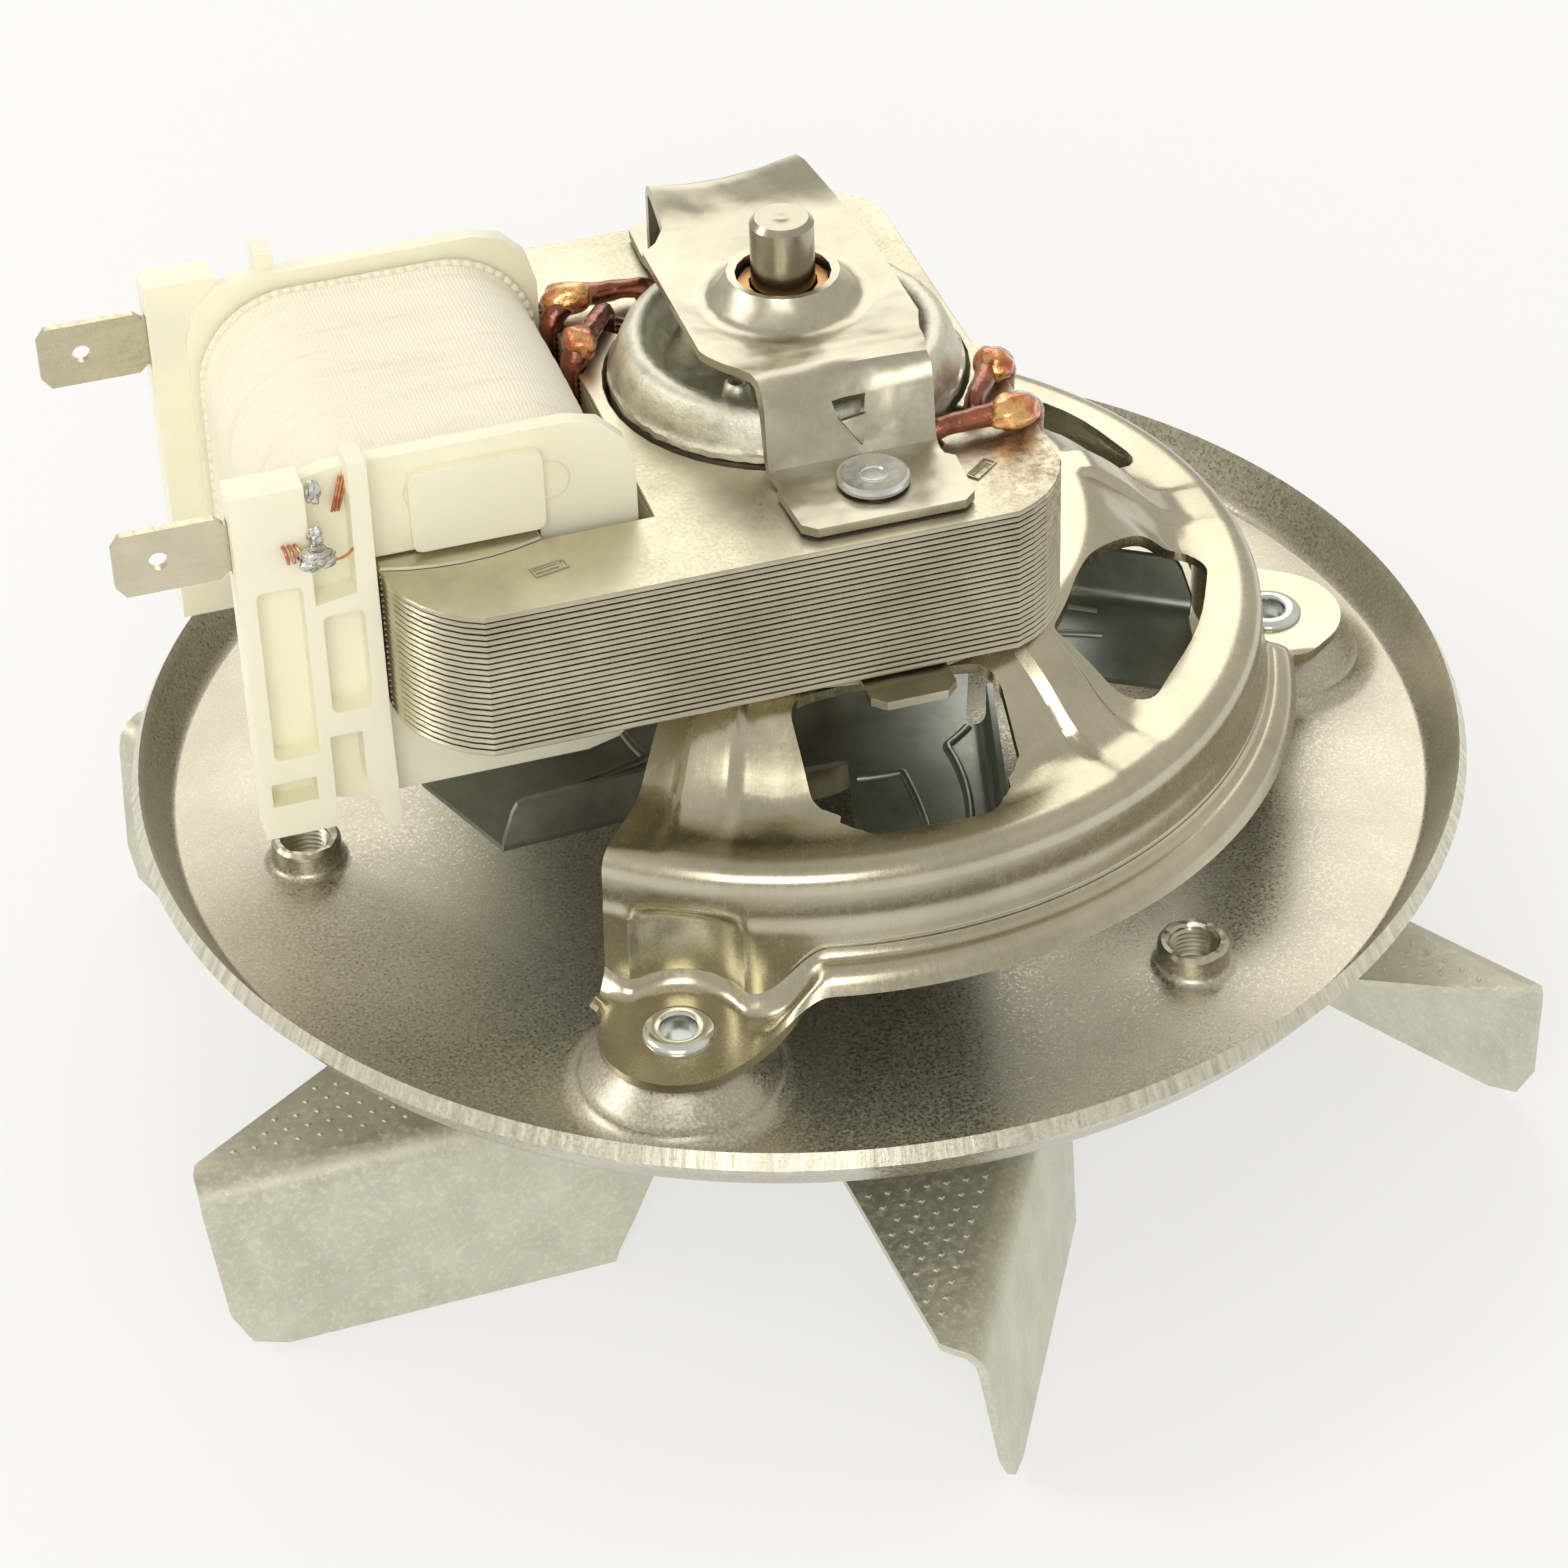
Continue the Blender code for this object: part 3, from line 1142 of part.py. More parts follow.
def fold_blades(name, blank, folds, drops, thickness, flip):
    """Extrude each fold edge of a flat blank through the stations of its blade.

    folds holds the edge's two ends and the side the blade curls to; drops holds, for each
    station, the sideways move, the vertical move and how far each end is drawn in.
    """
    bm = bmesh.new()
    points = [bm.verts.new((x * MM, y * MM, z * MM)) for x, y, z in blank]
    face = bm.faces.new(points)
    for first, last in folds:
        a, b = points[first], points[last]
        along = (b.co - a.co).normalized()
        side = Vector((along.y, -along.x, 0.0))
        start, end = a.co.copy(), b.co.copy()
        low_a, low_b = a, b
        for sideways, vertical, inset_a, inset_b in drops:
            shift = side * sideways * MM + Vector((0.0, 0.0, vertical * MM))
            new_a = bm.verts.new(start + along * inset_a * MM + shift)
            new_b = bm.verts.new(end - along * inset_b * MM + shift)
            bm.faces.new((low_a, low_b, new_b, new_a))
            low_a, low_b = new_a, new_b
    bmesh.ops.recalc_face_normals(bm, faces=bm.faces)
    if (face.normal.z < 0) != flip:
        bmesh.ops.reverse_faces(bm, faces=bm.faces)
    mesh = bpy.data.meshes.new(name)
    bm.to_mesh(mesh)
    bm.free()
    obj = add_object(name, mesh)
    thicken(obj, thickness)
    return obj


def fold_stations(bend, reach, sign, lean, corner, inset_outer, inset_inner):
    """Sideways and vertical moves from a fold edge to the free edge of a blade."""
    stations = []
    for k in range(1, 4):
        angle = math.radians(30.0 * k)
        stations.append((bend * math.sin(angle), sign * bend * (1 - math.cos(angle)), 0.0, 0.0))
    body = reach - bend
    for share, outer, inner in ((0.0, 0.0, 0.0), (0.72, 0.0, 0.72), (0.93, corner * 0.3, 0.95),
                                (1.0, corner, 1.0)):
        if share > 0:
            stations.append((bend + lean * share, sign * (bend + body * share),
                             outer + inset_outer * share, inset_inner * inner))
    return stations


def ring_of(points, count):
    """Repeat a run of blank points round the shaft."""
    result = []
    for k in range(count):
        turn = Matrix.Rotation(2 * math.pi * k / count, 2)
        for point in points:
            spot = turn @ Vector(point)
            result.append((spot.x, spot.y))
    return result


def build_impeller():
    radius, bend = FAN_RADIUS, FAN_BEND
    outer = Vector(polar(radius, FAN_PHASE))
    along = Vector(polar(1.0, FAN_FOLD))
    side = Vector((along.y, -along.x))
    # The blank ends where the fold's curve begins
    fold_outer = outer - side * bend
    fold_inner = fold_outer + along * FAN_BLADE_LENGTH
    tip = Vector(polar(radius - 2.1, FAN_PHASE - 3.0))
    free = Vector(polar(1.0, FAN_FLANGE_EDGE))
    root = tip + free * (radius - 2.1 - 35.0)
    notch = fold_inner + along * 1.5 - side * 1.0
    run = [tip, fold_outer, fold_inner, notch]
    valley = Matrix.Rotation(2 * math.pi / FAN_BLADES, 2) @ root
    run.append(valley)
    blank = [(x, y, FAN_HEIGHT) for x, y in ring_of(run, FAN_BLADES)]
    size = len(run)
    folds = [(k * size + 1, k * size + 2) for k in range(FAN_BLADES)]
    stations = fold_stations(bend, FAN_BLADE_DROP, -1.0, FAN_BLADE_LEAN, 4.6, 1.6, 8.4)
    fan = fold_blades("main_fan", blank, folds, stations, FAN_SHEET, False)
    cut(fan, rod("bore", SHAFT_RADIUS + GAP, FAN_HEIGHT - 4, FAN_HEIGHT + 3, segments=24))
    return finish(fan, (0.60, 0.60, 0.57), 0.45, 1.0)


def build_cooler():
    radius = COOLER_RADIUS
    bend = 1.2
    outer = Vector(polar(radius, COOLER_PHASE))
    along = Vector(polar(1.0, COOLER_FOLD))
    side = Vector((along.y, -along.x))
    fold_outer = outer - side * bend
    fold_inner = fold_outer + along * COOLER_BLADE_LENGTH
    free = Vector(polar(radius, COOLER_PHASE - COOLER_BLADE_SPAN))
    free_root = Vector(polar(radius * 0.425, COOLER_PHASE - COOLER_BLADE_SPAN + 8.0))
    notch = fold_inner + along * 0.8 - side * 0.6
    run = [free, fold_outer, fold_inner, notch]
    run.append(Matrix.Rotation(2 * math.pi / COOLER_BLADES, 2) @ free_root)
    blank = [(x, y, COOLER_HEIGHT) for x, y in ring_of(run, COOLER_BLADES)]
    size = len(run)
    folds = [(k * size + 1, k * size + 2) for k in range(COOLER_BLADES)]
    stations = fold_stations(bend, COOLER_BLADE_RISE, 1.0, 0.0, 0.8, 1.5, 1.0)
    fan = fold_blades("cooling_fan", blank, folds, stations, COOLER_SHEET, False)
    cut(fan, rod("bore", SHAFT_RADIUS + GAP, COOLER_HEIGHT - 3, COOLER_HEIGHT + 3, segments=24))
    return finish(fan, GALVANISED, 0.4, 1.0)


def build_fixings():
    """Hub of the cooling fan, spacer through the plate, washer and nut under the impeller."""
    bore = SHAFT_RADIUS + GAP
    web = COOLER_HEIGHT - COOLER_SHEET
    fan_top = FAN_HEIGHT
    hub = turned("fan_spacer", [(HUB_RADIUS, web - GAP), (HUB_RADIUS, web - 3.0),
                                (COLLET_RADIUS, web - 3.5), (COLLET_RADIUS, fan_top + GAP),
                                (bore, fan_top + GAP), (bore, web - GAP)], 12)
    finish(hub, ZINC, 0.35, 1.0)
    washer_top = FAN_HEIGHT - FAN_SHEET - GAP
    washer = turned("fan_washer", [(WASHER_RADIUS, washer_top),
                                   (WASHER_RADIUS, washer_top - WASHER_SHEET),
                                   (bore, washer_top - WASHER_SHEET), (bore, washer_top)], 14)
    finish(washer, ZINC, 0.35, 1.0)
    nut_top = washer_top - WASHER_SHEET - GAP
    nut = prism("fan_nut", [circle(NUT_RADIUS, 6), circle(bore, 12)], nut_top - NUT_HEIGHT,
                nut_top)
    finish(nut, ZINC, 0.3, 1.0)
    collar = turned("cooler_collar", [(HUB_RADIUS, COOLER_HEIGHT + GAP + 2.4),
                                      (HUB_RADIUS, COOLER_HEIGHT + GAP), (bore, COOLER_HEIGHT + GAP),
                                      (bore, COOLER_HEIGHT + GAP + 2.4)], 12)
    finish(collar, ZINC, 0.35, 1.0)
    shaft = build_shaft(nut_top - NUT_HEIGHT - 2.0)
    return [hub, washer, nut, collar, shaft]


def build():
    motor = bpy.data.objects.new("motor_frame", None)
    rotor = bpy.data.objects.new("rotor_axis", None)
    for empty in (motor, rotor):
        parts.objects.link(empty)
    motor.location = (0.0, 0.0, -SHAFT_TOP * MM)
    rotor.parent = motor

    standing = [build_plate(), build_bell(), *build_ear_rivets(), build_stack(),
                build_coil_core(), *build_bearings(), *build_shading_rings(), build_bobbin(),
                build_winding(), *build_tabs()]
    turning = [*build_rotor(), build_impeller(), build_cooler(), *build_fixings()]
    for obj in standing:
        obj.parent = motor
    for obj in turning:
        obj.parent = rotor
    bpy.context.view_layer.update()


build()
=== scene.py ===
# %% [markdown]
# # Oven fan motor
# This lesson dresses a shaded-pole fan motor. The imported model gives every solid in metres, with
# the origin at the middle of the shaft's upper end and +Z along the shaft. Metal sheet, steel
# laminations, moulded plastic and a taped coil all get their own finish, and a few pieces are
# modelled finer than the solids they stand for.

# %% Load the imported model
import json
import math
import random

import bmesh
import bpy
from mathutils import Matrix, Vector, noise as wobble
from mathutils.bvhtree import BVHTree

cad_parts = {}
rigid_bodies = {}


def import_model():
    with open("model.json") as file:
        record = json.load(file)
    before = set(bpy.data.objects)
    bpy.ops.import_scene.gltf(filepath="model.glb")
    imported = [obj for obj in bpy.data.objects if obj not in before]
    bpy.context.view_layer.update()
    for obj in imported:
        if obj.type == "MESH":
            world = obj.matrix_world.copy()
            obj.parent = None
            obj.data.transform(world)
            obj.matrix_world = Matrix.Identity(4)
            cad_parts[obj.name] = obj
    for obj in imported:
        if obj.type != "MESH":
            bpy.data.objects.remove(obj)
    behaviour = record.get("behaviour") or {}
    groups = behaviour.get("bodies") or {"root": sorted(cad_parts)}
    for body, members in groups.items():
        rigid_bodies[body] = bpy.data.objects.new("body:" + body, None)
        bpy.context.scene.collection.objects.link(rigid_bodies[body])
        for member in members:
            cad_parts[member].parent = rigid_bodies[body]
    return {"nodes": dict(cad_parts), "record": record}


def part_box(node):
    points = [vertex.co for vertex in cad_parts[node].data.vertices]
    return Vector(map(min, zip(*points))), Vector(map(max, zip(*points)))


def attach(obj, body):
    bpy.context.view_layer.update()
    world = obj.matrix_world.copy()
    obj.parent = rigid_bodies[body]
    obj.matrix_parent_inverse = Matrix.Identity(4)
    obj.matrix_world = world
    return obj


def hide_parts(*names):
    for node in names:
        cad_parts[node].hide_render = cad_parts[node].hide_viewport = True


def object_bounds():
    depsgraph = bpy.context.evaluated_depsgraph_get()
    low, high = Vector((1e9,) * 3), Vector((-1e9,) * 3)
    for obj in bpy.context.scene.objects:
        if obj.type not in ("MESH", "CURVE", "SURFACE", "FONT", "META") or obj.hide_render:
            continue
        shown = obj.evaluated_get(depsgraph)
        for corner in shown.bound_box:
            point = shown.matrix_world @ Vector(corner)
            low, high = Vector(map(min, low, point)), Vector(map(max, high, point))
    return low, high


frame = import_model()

cad_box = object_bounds()
nodes = frame["nodes"]
print("nodes:", len(nodes))

# %% [markdown]
# ## The camera
# The photograph was taken with a long lens from the front and well above. The angles come from
# fitting circles of the plate, the ears and the fan, so the picture's outlines fall in place.

# %% Camera
MM = 0.001
PICTURE_SIDE = 1568
CAMERA_AZIMUTH = math.radians(-16.307)
CAMERA_HEIGHT_ANGLE = math.radians(37.148)
CAMERA_ROLL = math.radians(-1.982)
CAMERA_DISTANCE = 461.913 * MM
CAMERA_ASIDE = -1.537 * MM
CAMERA_LIFT = -2.832 * MM
FOCAL_PIXELS = 4636.496
PLATE_FLOOR = -61.6 * MM


def add_camera():
    """A camera that looks at the plate's middle from the photograph's side."""
    flat = math.cos(CAMERA_HEIGHT_ANGLE)
    back = Vector((math.sin(CAMERA_AZIMUTH) * flat, -math.cos(CAMERA_AZIMUTH) * flat,
                   math.sin(CAMERA_HEIGHT_ANGLE)))
    right = Vector((0, 0, 1)).cross(back).normalized()
    up = back.cross(right)
    place = right * CAMERA_ASIDE + up * CAMERA_LIFT + back * CAMERA_DISTANCE
    place.z += PLATE_FLOOR
    turned_right = right * math.cos(CAMERA_ROLL) + up * math.sin(CAMERA_ROLL)
    turned_up = up * math.cos(CAMERA_ROLL) - right * math.sin(CAMERA_ROLL)
    lens = bpy.data.cameras.new("camera")
    lens.sensor_width = 36
    lens.lens = FOCAL_PIXELS / PICTURE_SIDE * lens.sensor_width
    lens.clip_start, lens.clip_end = 0.01, 20
    camera = bpy.data.objects.new("camera", lens)
    bpy.context.scene.collection.objects.link(camera)
    turn = Matrix((turned_right, turned_up, back)).transposed()
    camera.matrix_world = Matrix.Translation(place) @ turn.to_4x4()
    bpy.context.scene.camera = camera
    return camera


camera = add_camera()
print("lens in mm:", round(camera.data.lens, 2))

# %% [markdown]
# ## Tools for shaders
# Every finish is a Principled shader fed by small patterns. A shader keeps its plain numbers on
# its own sockets, and patterns that change over the surface come in through links.

# %% Shader helpers
WRAP_RADIUS = 0.045


def link_new(obj):
    bpy.context.scene.collection.objects.link(obj)
    return obj


def mesh_of(build, name):
    """Moves a bmesh into a new object."""
    mesh = bpy.data.meshes.new(name)
    build.to_mesh(mesh)
    build.free()
    return link_new(bpy.data.objects.new(name, mesh))


def fresh_tree(holder):
    """The emptied node tree of a material or a world."""
    holder.use_nodes = True
    holder.node_tree.nodes.clear()
    return holder.node_tree


def add_node(tree, kind, sockets=None, **values):
    """A node of a kind. Each socket takes a number, a colour or another node's output."""
    made = tree.nodes.new(kind)
    for name, value in values.items():
        setattr(made, name, value)
    for name, value in (sockets or {}).items():
        if isinstance(value, bpy.types.NodeSocket):
            tree.links.new(value, made.inputs[name])
        else:
            made.inputs[name].default_value = value
    return made


def spot(tree):
    """Object coordinates, in metres."""
    return add_node(tree, "ShaderNodeTexCoord").outputs["Object"]


def sum_of(tree, first, second, operation="ADD"):
    """Two values through one Math node."""
    return add_node(tree, "ShaderNodeMath", {0: first, 1: second}, operation=operation).outputs[0]


def product(tree, first, second):
    return sum_of(tree, first, second, "MULTIPLY")


def round_place(tree):
    """Coordinates wrapped round the shaft: length of arc, then distance along the section."""
    x, y, z = add_node(tree, "ShaderNodeSeparateXYZ", {0: spot(tree)}).outputs
    arc = product(tree, sum_of(tree, y, x, "ARCTAN2"), WRAP_RADIUS)
    reach = sum_of(tree, sum_of(tree, product(tree, x, x), product(tree, y, y)), 0.5, "POWER")
    along = sum_of(tree, z, reach, "SUBTRACT")
    return add_node(tree, "ShaderNodeCombineXYZ", {0: arc, 1: along}).outputs[0]


def stretched(tree, source, scale):
    """The pattern's coordinates, scaled apart along the three axes."""
    return add_node(tree, "ShaderNodeMapping", {"Vector": source, "Scale": scale}).outputs[0]


def noise(tree, source, scale, detail=3.0, rough=0.6):
    return add_node(tree, "ShaderNodeTexNoise", {"Vector": source, "Scale": scale, "Detail": detail,
                                                 "Roughness": rough}).outputs["Fac"]


def spread(tree, source, low, high, new_low=0.0, new_high=1.0):
    """Maps a value's range low..high to new_low..new_high, clamped."""
    sockets = {0: source, 1: low, 2: high, 3: new_low, 4: new_high}
    return add_node(tree, "ShaderNodeMapRange", sockets).outputs[0]


def blend_color(tree, factor, first, second):
    """Two colours mixed by a mask. Each may be a colour or a socket."""
    first, second = ((*color, 1) if isinstance(color, tuple) else color for color in (first, second))
    return add_node(tree, "ShaderNodeMix", {0: factor, 6: first, 7: second}, data_type="RGBA").outputs[2]


def two_tone(tree, value, low, high, dark, light):
    """The dark colour where a value is low, the light one where it is high."""
    return blend_color(tree, spread(tree, value, low, high), dark, light)


def bump(tree, height, strength, distance, below=None):
    """A bump from a height, over another bump when one is given."""
    sockets = {"Height": height, "Strength": strength, "Distance": distance}
    if below is not None:
        sockets["Normal"] = below
    return add_node(tree, "ShaderNodeBump", sockets).outputs["Normal"]


def new_finish(name, **sockets):
    """A finish and its tree, with plain numbers on the Principled shader's sockets."""
    look = bpy.data.materials.new(name + "_finish")
    look.use_nodes = True
    for socket, value in sockets.items():
        look.node_tree.nodes["Principled BSDF"].inputs[socket.replace("_", " ")].default_value = value
    return look, look.node_tree


def feed(look, color, normal, rough=None):
    """Links a finish's patterns to its shader."""
    shader = look.node_tree.nodes["Principled BSDF"]
    for name, source in (("Base Color", color), ("Normal", normal), ("Roughness", rough)):
        if source is not None:
            look.node_tree.links.new(source, shader.inputs[name])
    return look


print("shader helpers ready")

# %% [markdown]
# ## The studio
# The object stands on its fan blades on a white table. Light Path makes the world and the
# reflected table white. What the camera sees of the table is part white and part lit paper, so
# the object's soft shadow stays on it.

# %% Studio floor, world and lamps
FLOOR_SIDE = 3.0
FLOOR_GAP = 0.2 * MM
BACKDROP = (1.0, 1.0, 0.995, 1.0)
PAPER = (0.9, 0.9, 0.89, 1.0)
FLOOR_WHITE = 0.6
ROOM_LIGHT = 0.8
ROOM_WARMTH = (1.0, 0.985, 0.95)
CEILING = ((0.0, 0.8), (0.5, 0.9), (0.75, 1.0), (1.0, 0.9))
SIDES = ((0.0, 1.0), (0.5, 0.8), (1.0, 1.0))
LAMP_AIM = Vector((0, 0, -40 * MM))
LAMP_COLOR = (1.0, 0.985, 0.955)
LAMPS = (("lamp_back", (0.22, 0.765, 0.6), 2.4, 0.7), ("lamp_left", (-0.75, 0.2, 0.45), 1.5, 0.35),
         ("lamp_front", (-0.3, -0.75, 0.45), 2.8, 0.5))


def add_mix(tree, share, first, second, ending):
    """Two shaders mixed by a share and put out through the tree's last node."""
    mix = add_node(tree, "ShaderNodeMixShader", {0: share, 1: first.outputs[0], 2: second.outputs[0]})
    add_node(tree, ending, {"Surface": mix.outputs[0]})


def add_floor():
    """A white table just under the blade tips."""
    build = bmesh.new()
    bmesh.ops.create_grid(build, x_segments=1, y_segments=1, size=FLOOR_SIDE)
    bmesh.ops.translate(build, verts=build.verts, vec=(0, 0, cad_box[0].z - FLOOR_GAP))
    table = mesh_of(build, "table_top")
    look = bpy.data.materials.new("table_white")
    tree = fresh_tree(look)
    rays = add_node(tree, "ShaderNodeLightPath").outputs
    white = product(tree, rays["Is Camera Ray"], FLOOR_WHITE)
    for ray in ("Is Glossy Ray", "Is Transmission Ray"):
        white = sum_of(tree, white, rays[ray], "MAXIMUM")
    paper = add_node(tree, "ShaderNodeBsdfDiffuse", {"Color": PAPER})
    glow = add_node(tree, "ShaderNodeEmission", {"Color": BACKDROP})
    add_mix(tree, white, paper, glow, "ShaderNodeOutputMaterial")
    table.data.materials.append(look)


def gradient(tree, value, stops):
    """A warm grey gradient over a value, from pairs of place and brightness."""
    ramp = add_node(tree, "ShaderNodeValToRGB", {"Fac": value})
    marks = ramp.color_ramp.elements
    while len(marks) < len(stops):
        marks.new(0.5)
    for mark, (place, grey) in zip(marks, stops):
        mark.position = place
        mark.color = (*(grey * share for share in ROOM_WARMTH), 1)
    return ramp.outputs["Color"]


def add_world():
    """White for the camera; for the metal, a room with a bright ceiling and a darker horizon."""
    world = bpy.data.worlds.new("studio")
    bpy.context.scene.world = world
    tree = fresh_tree(world)
    place = add_node(tree, "ShaderNodeTexCoord").outputs["Generated"]
    x, _, z = add_node(tree, "ShaderNodeSeparateXYZ", {0: place}).outputs
    height, sides = gradient(tree, z, CEILING), gradient(tree, spread(tree, x, -1.0, 1.0), SIDES)
    both = add_node(tree, "ShaderNodeMix", data_type="RGBA", blend_type="MULTIPLY",
                    sockets={0: 1.0, 6: height, 7: sides})
    room = add_node(tree, "ShaderNodeBackground", {"Color": both.outputs[2], "Strength": ROOM_LIGHT})
    white = add_node(tree, "ShaderNodeBackground", {"Color": BACKDROP})
    seen = add_node(tree, "ShaderNodeLightPath").outputs["Is Camera Ray"]
    add_mix(tree, seen, room, white, "ShaderNodeOutputWorld")


def add_lamp(name, place, power, side):
    """A soft square lamp that points at the object."""
    data = bpy.data.lights.new(name, "AREA")
    data.shape, data.size, data.energy, data.color = "SQUARE", side, power, LAMP_COLOR
    lamp = link_new(bpy.data.objects.new(name, data))
    turn = (LAMP_AIM - Vector(place)).to_track_quat("-Z", "Y").to_matrix().to_4x4()
    lamp.matrix_world = Matrix.Translation(place) @ turn


add_floor()
add_world()
for lamp_row in LAMPS:
    add_lamp(*lamp_row)
print("lamps:", len(LAMPS))
bpy.context.scene.view_settings.view_transform = "Standard"

# %% [markdown]
# ## Shared patterns
# Most of the sheet metal shows the same things: a fine sparkling grain from the coating, long
# scratches from the press, and soft stains. They are node groups with their own inputs.

# %% Pattern groups
FLOAT = "NodeSocketFloat"
VECTOR = "NodeSocketVector"


def new_group(name, inputs, outputs):
    """A shader node group with named inputs (name, kind, value) and value outputs."""
    group = bpy.data.node_groups.new(name, "ShaderNodeTree")
    for title, kind, value in inputs:
        socket = group.interface.new_socket(title, in_out="INPUT", socket_type=kind)
        if value is not None:
            socket.default_value = value
    for title in outputs:
        group.interface.new_socket(title, in_out="OUTPUT", socket_type=FLOAT)
    return group, add_node(group, "NodeGroupInput").outputs


def make_grain_group():
    """Coated sheet: a fine speckle with its height, and a coarser cloud."""
    group, given = new_group(
        "sheet_grain",
        [("Place", VECTOR, None), ("Speckle Scale", FLOAT, 1500.0), ("Cloud Scale", FLOAT, 60.0)],
        ("Speckle", "Cloud", "Height"))
    fine = noise(group, given["Place"], given["Speckle Scale"], 2.0, 0.7)
    cloud = noise(group, given["Place"], given["Cloud Scale"], 4.0)
    add_node(group, "NodeGroupOutput", {"Speckle": spread(group, fine, 0.36, 0.64),
                                        "Cloud": spread(group, cloud, 0.35, 0.65), "Height": fine})
    return group


def make_scratch_group():
    """Scratches that run along one way: the coordinates are squeezed across it."""
    group, given = new_group(
        "press_scratches",
        [("Place", VECTOR, None), ("Stretch", VECTOR, (1.0, 1.0, 0.05)), ("Scale", FLOAT, 900.0)],
        ("Scratch", "Height"))
    squeezed = add_node(group, "ShaderNodeVectorMath", {0: given["Place"], 1: given["Stretch"]},
                        operation="MULTIPLY")
    lines = noise(group, squeezed.outputs[0], given["Scale"], 3.0, 0.75)
    add_node(group, "NodeGroupOutput", {"Scratch": spread(group, lines, 0.4, 0.7), "Height": lines})
    return group


GRAIN = make_grain_group()
SCRATCHES = make_scratch_group()


def use_group(tree, group, source, **values):
    """The outputs of a group placed in a finish, reading coordinates from source."""
    made = add_node(tree, "ShaderNodeGroup", node_tree=group)
    tree.links.new(source, made.inputs["Place"])
    for name, value in values.items():
        made.inputs[name.replace("_", " ")].default_value = value
    return made.outputs


print("groups:", [group.name for group in bpy.data.node_groups])

# %% [markdown]
# ## Sheet metal finishes
# The plate and the impeller are aluminised sheet, dull with a sparkling grain. The bell bracket
# and the straps are brighter, with scratches where the press tool dragged.

# %% Sheet metal
FLECK_LIFT, SCRATCH_LIFT = 1.6, 1.4
FLECK_SHARPNESS = 2.5
SCRATCH_ROUGHNESS = 0.2
DENT_SCALE, DENT_DEPTH = 170, 0.0006
SCRATCH_DEPTH = 0.00003


def lifted(color, factor):
    return tuple(min(1.0, share * factor) for share in color)


def sheet_finish(name, light, dark, metallic, rough, speckle_scale, cloud_scale, grain_depth, speckle_share,
                 stretch=(1.0, 1.0, 0.05), scratch_scale=900.0, scratch_share=0.0, rough_swing=0.12,
                 round_marks=False, dent=0.0):
    """A coated sheet: speckle and cloud in colour and roughness, with scratches where wanted."""
    look, tree = new_finish(name, Metallic=metallic, Roughness=rough)
    place = spot(tree)
    grain = use_group(tree, GRAIN, place, Speckle_Scale=speckle_scale, Cloud_Scale=cloud_scale)
    scratch = use_group(tree, SCRATCHES, round_place(tree) if round_marks else place,
                        Stretch=stretch, Scale=scratch_scale)
    flecks = product(tree, sum_of(tree, grain["Speckle"], FLECK_SHARPNESS, "POWER"), speckle_share)
    marks = product(tree, scratch["Scratch"], scratch_share)
    color = blend_color(tree, grain["Cloud"], dark, light)
    color = blend_color(tree, flecks, color, lifted(light, FLECK_LIFT))
    color = blend_color(tree, marks, color, lifted(light, SCRATCH_LIFT))
    swing = spread(tree, grain["Speckle"], 0.0, 1.0, rough - rough_swing, rough + rough_swing)
    normal = bump(tree, noise(tree, place, DENT_SCALE, 1.5), dent, DENT_DEPTH)
    normal = bump(tree, grain["Height"], 0.5, grain_depth, normal)
    normal = bump(tree, scratch["Height"], min(1.0, scratch_share), SCRATCH_DEPTH, normal)
    return feed(look, color, normal, sum_of(tree, swing, product(tree, marks, SCRATCH_ROUGHNESS)))


def plate_finish():
    """Aluminised plate; the rim's sheared edge is paler, with fine upright lines."""
    look = sheet_finish("plate_steel", (0.55, 0.52, 0.42), (0.42, 0.395, 0.315), 0.95, 0.38,
                        3000, 40, 0.00003, 0.5)
    tree = look.node_tree
    color, below = (tree.nodes["Principled BSDF"].inputs[name].links[0].from_socket
                    for name in ("Base Color", "Normal"))
    edge = add_node(tree, "ShaderNodeAttribute", attribute_name="sheared").outputs["Fac"]
    lines = noise(tree, stretched(tree, round_place(tree), (1.0, 0.06, 1.0)), 1500, 3.0, 0.7)
    pale = two_tone(tree, lines, 0.35, 0.65, (0.56, 0.53, 0.42), (0.84, 0.81, 0.67))
    return feed(look, blend_color(tree, edge, color, pale),
                bump(tree, product(tree, lines, edge), 0.6, 0.0001, below))


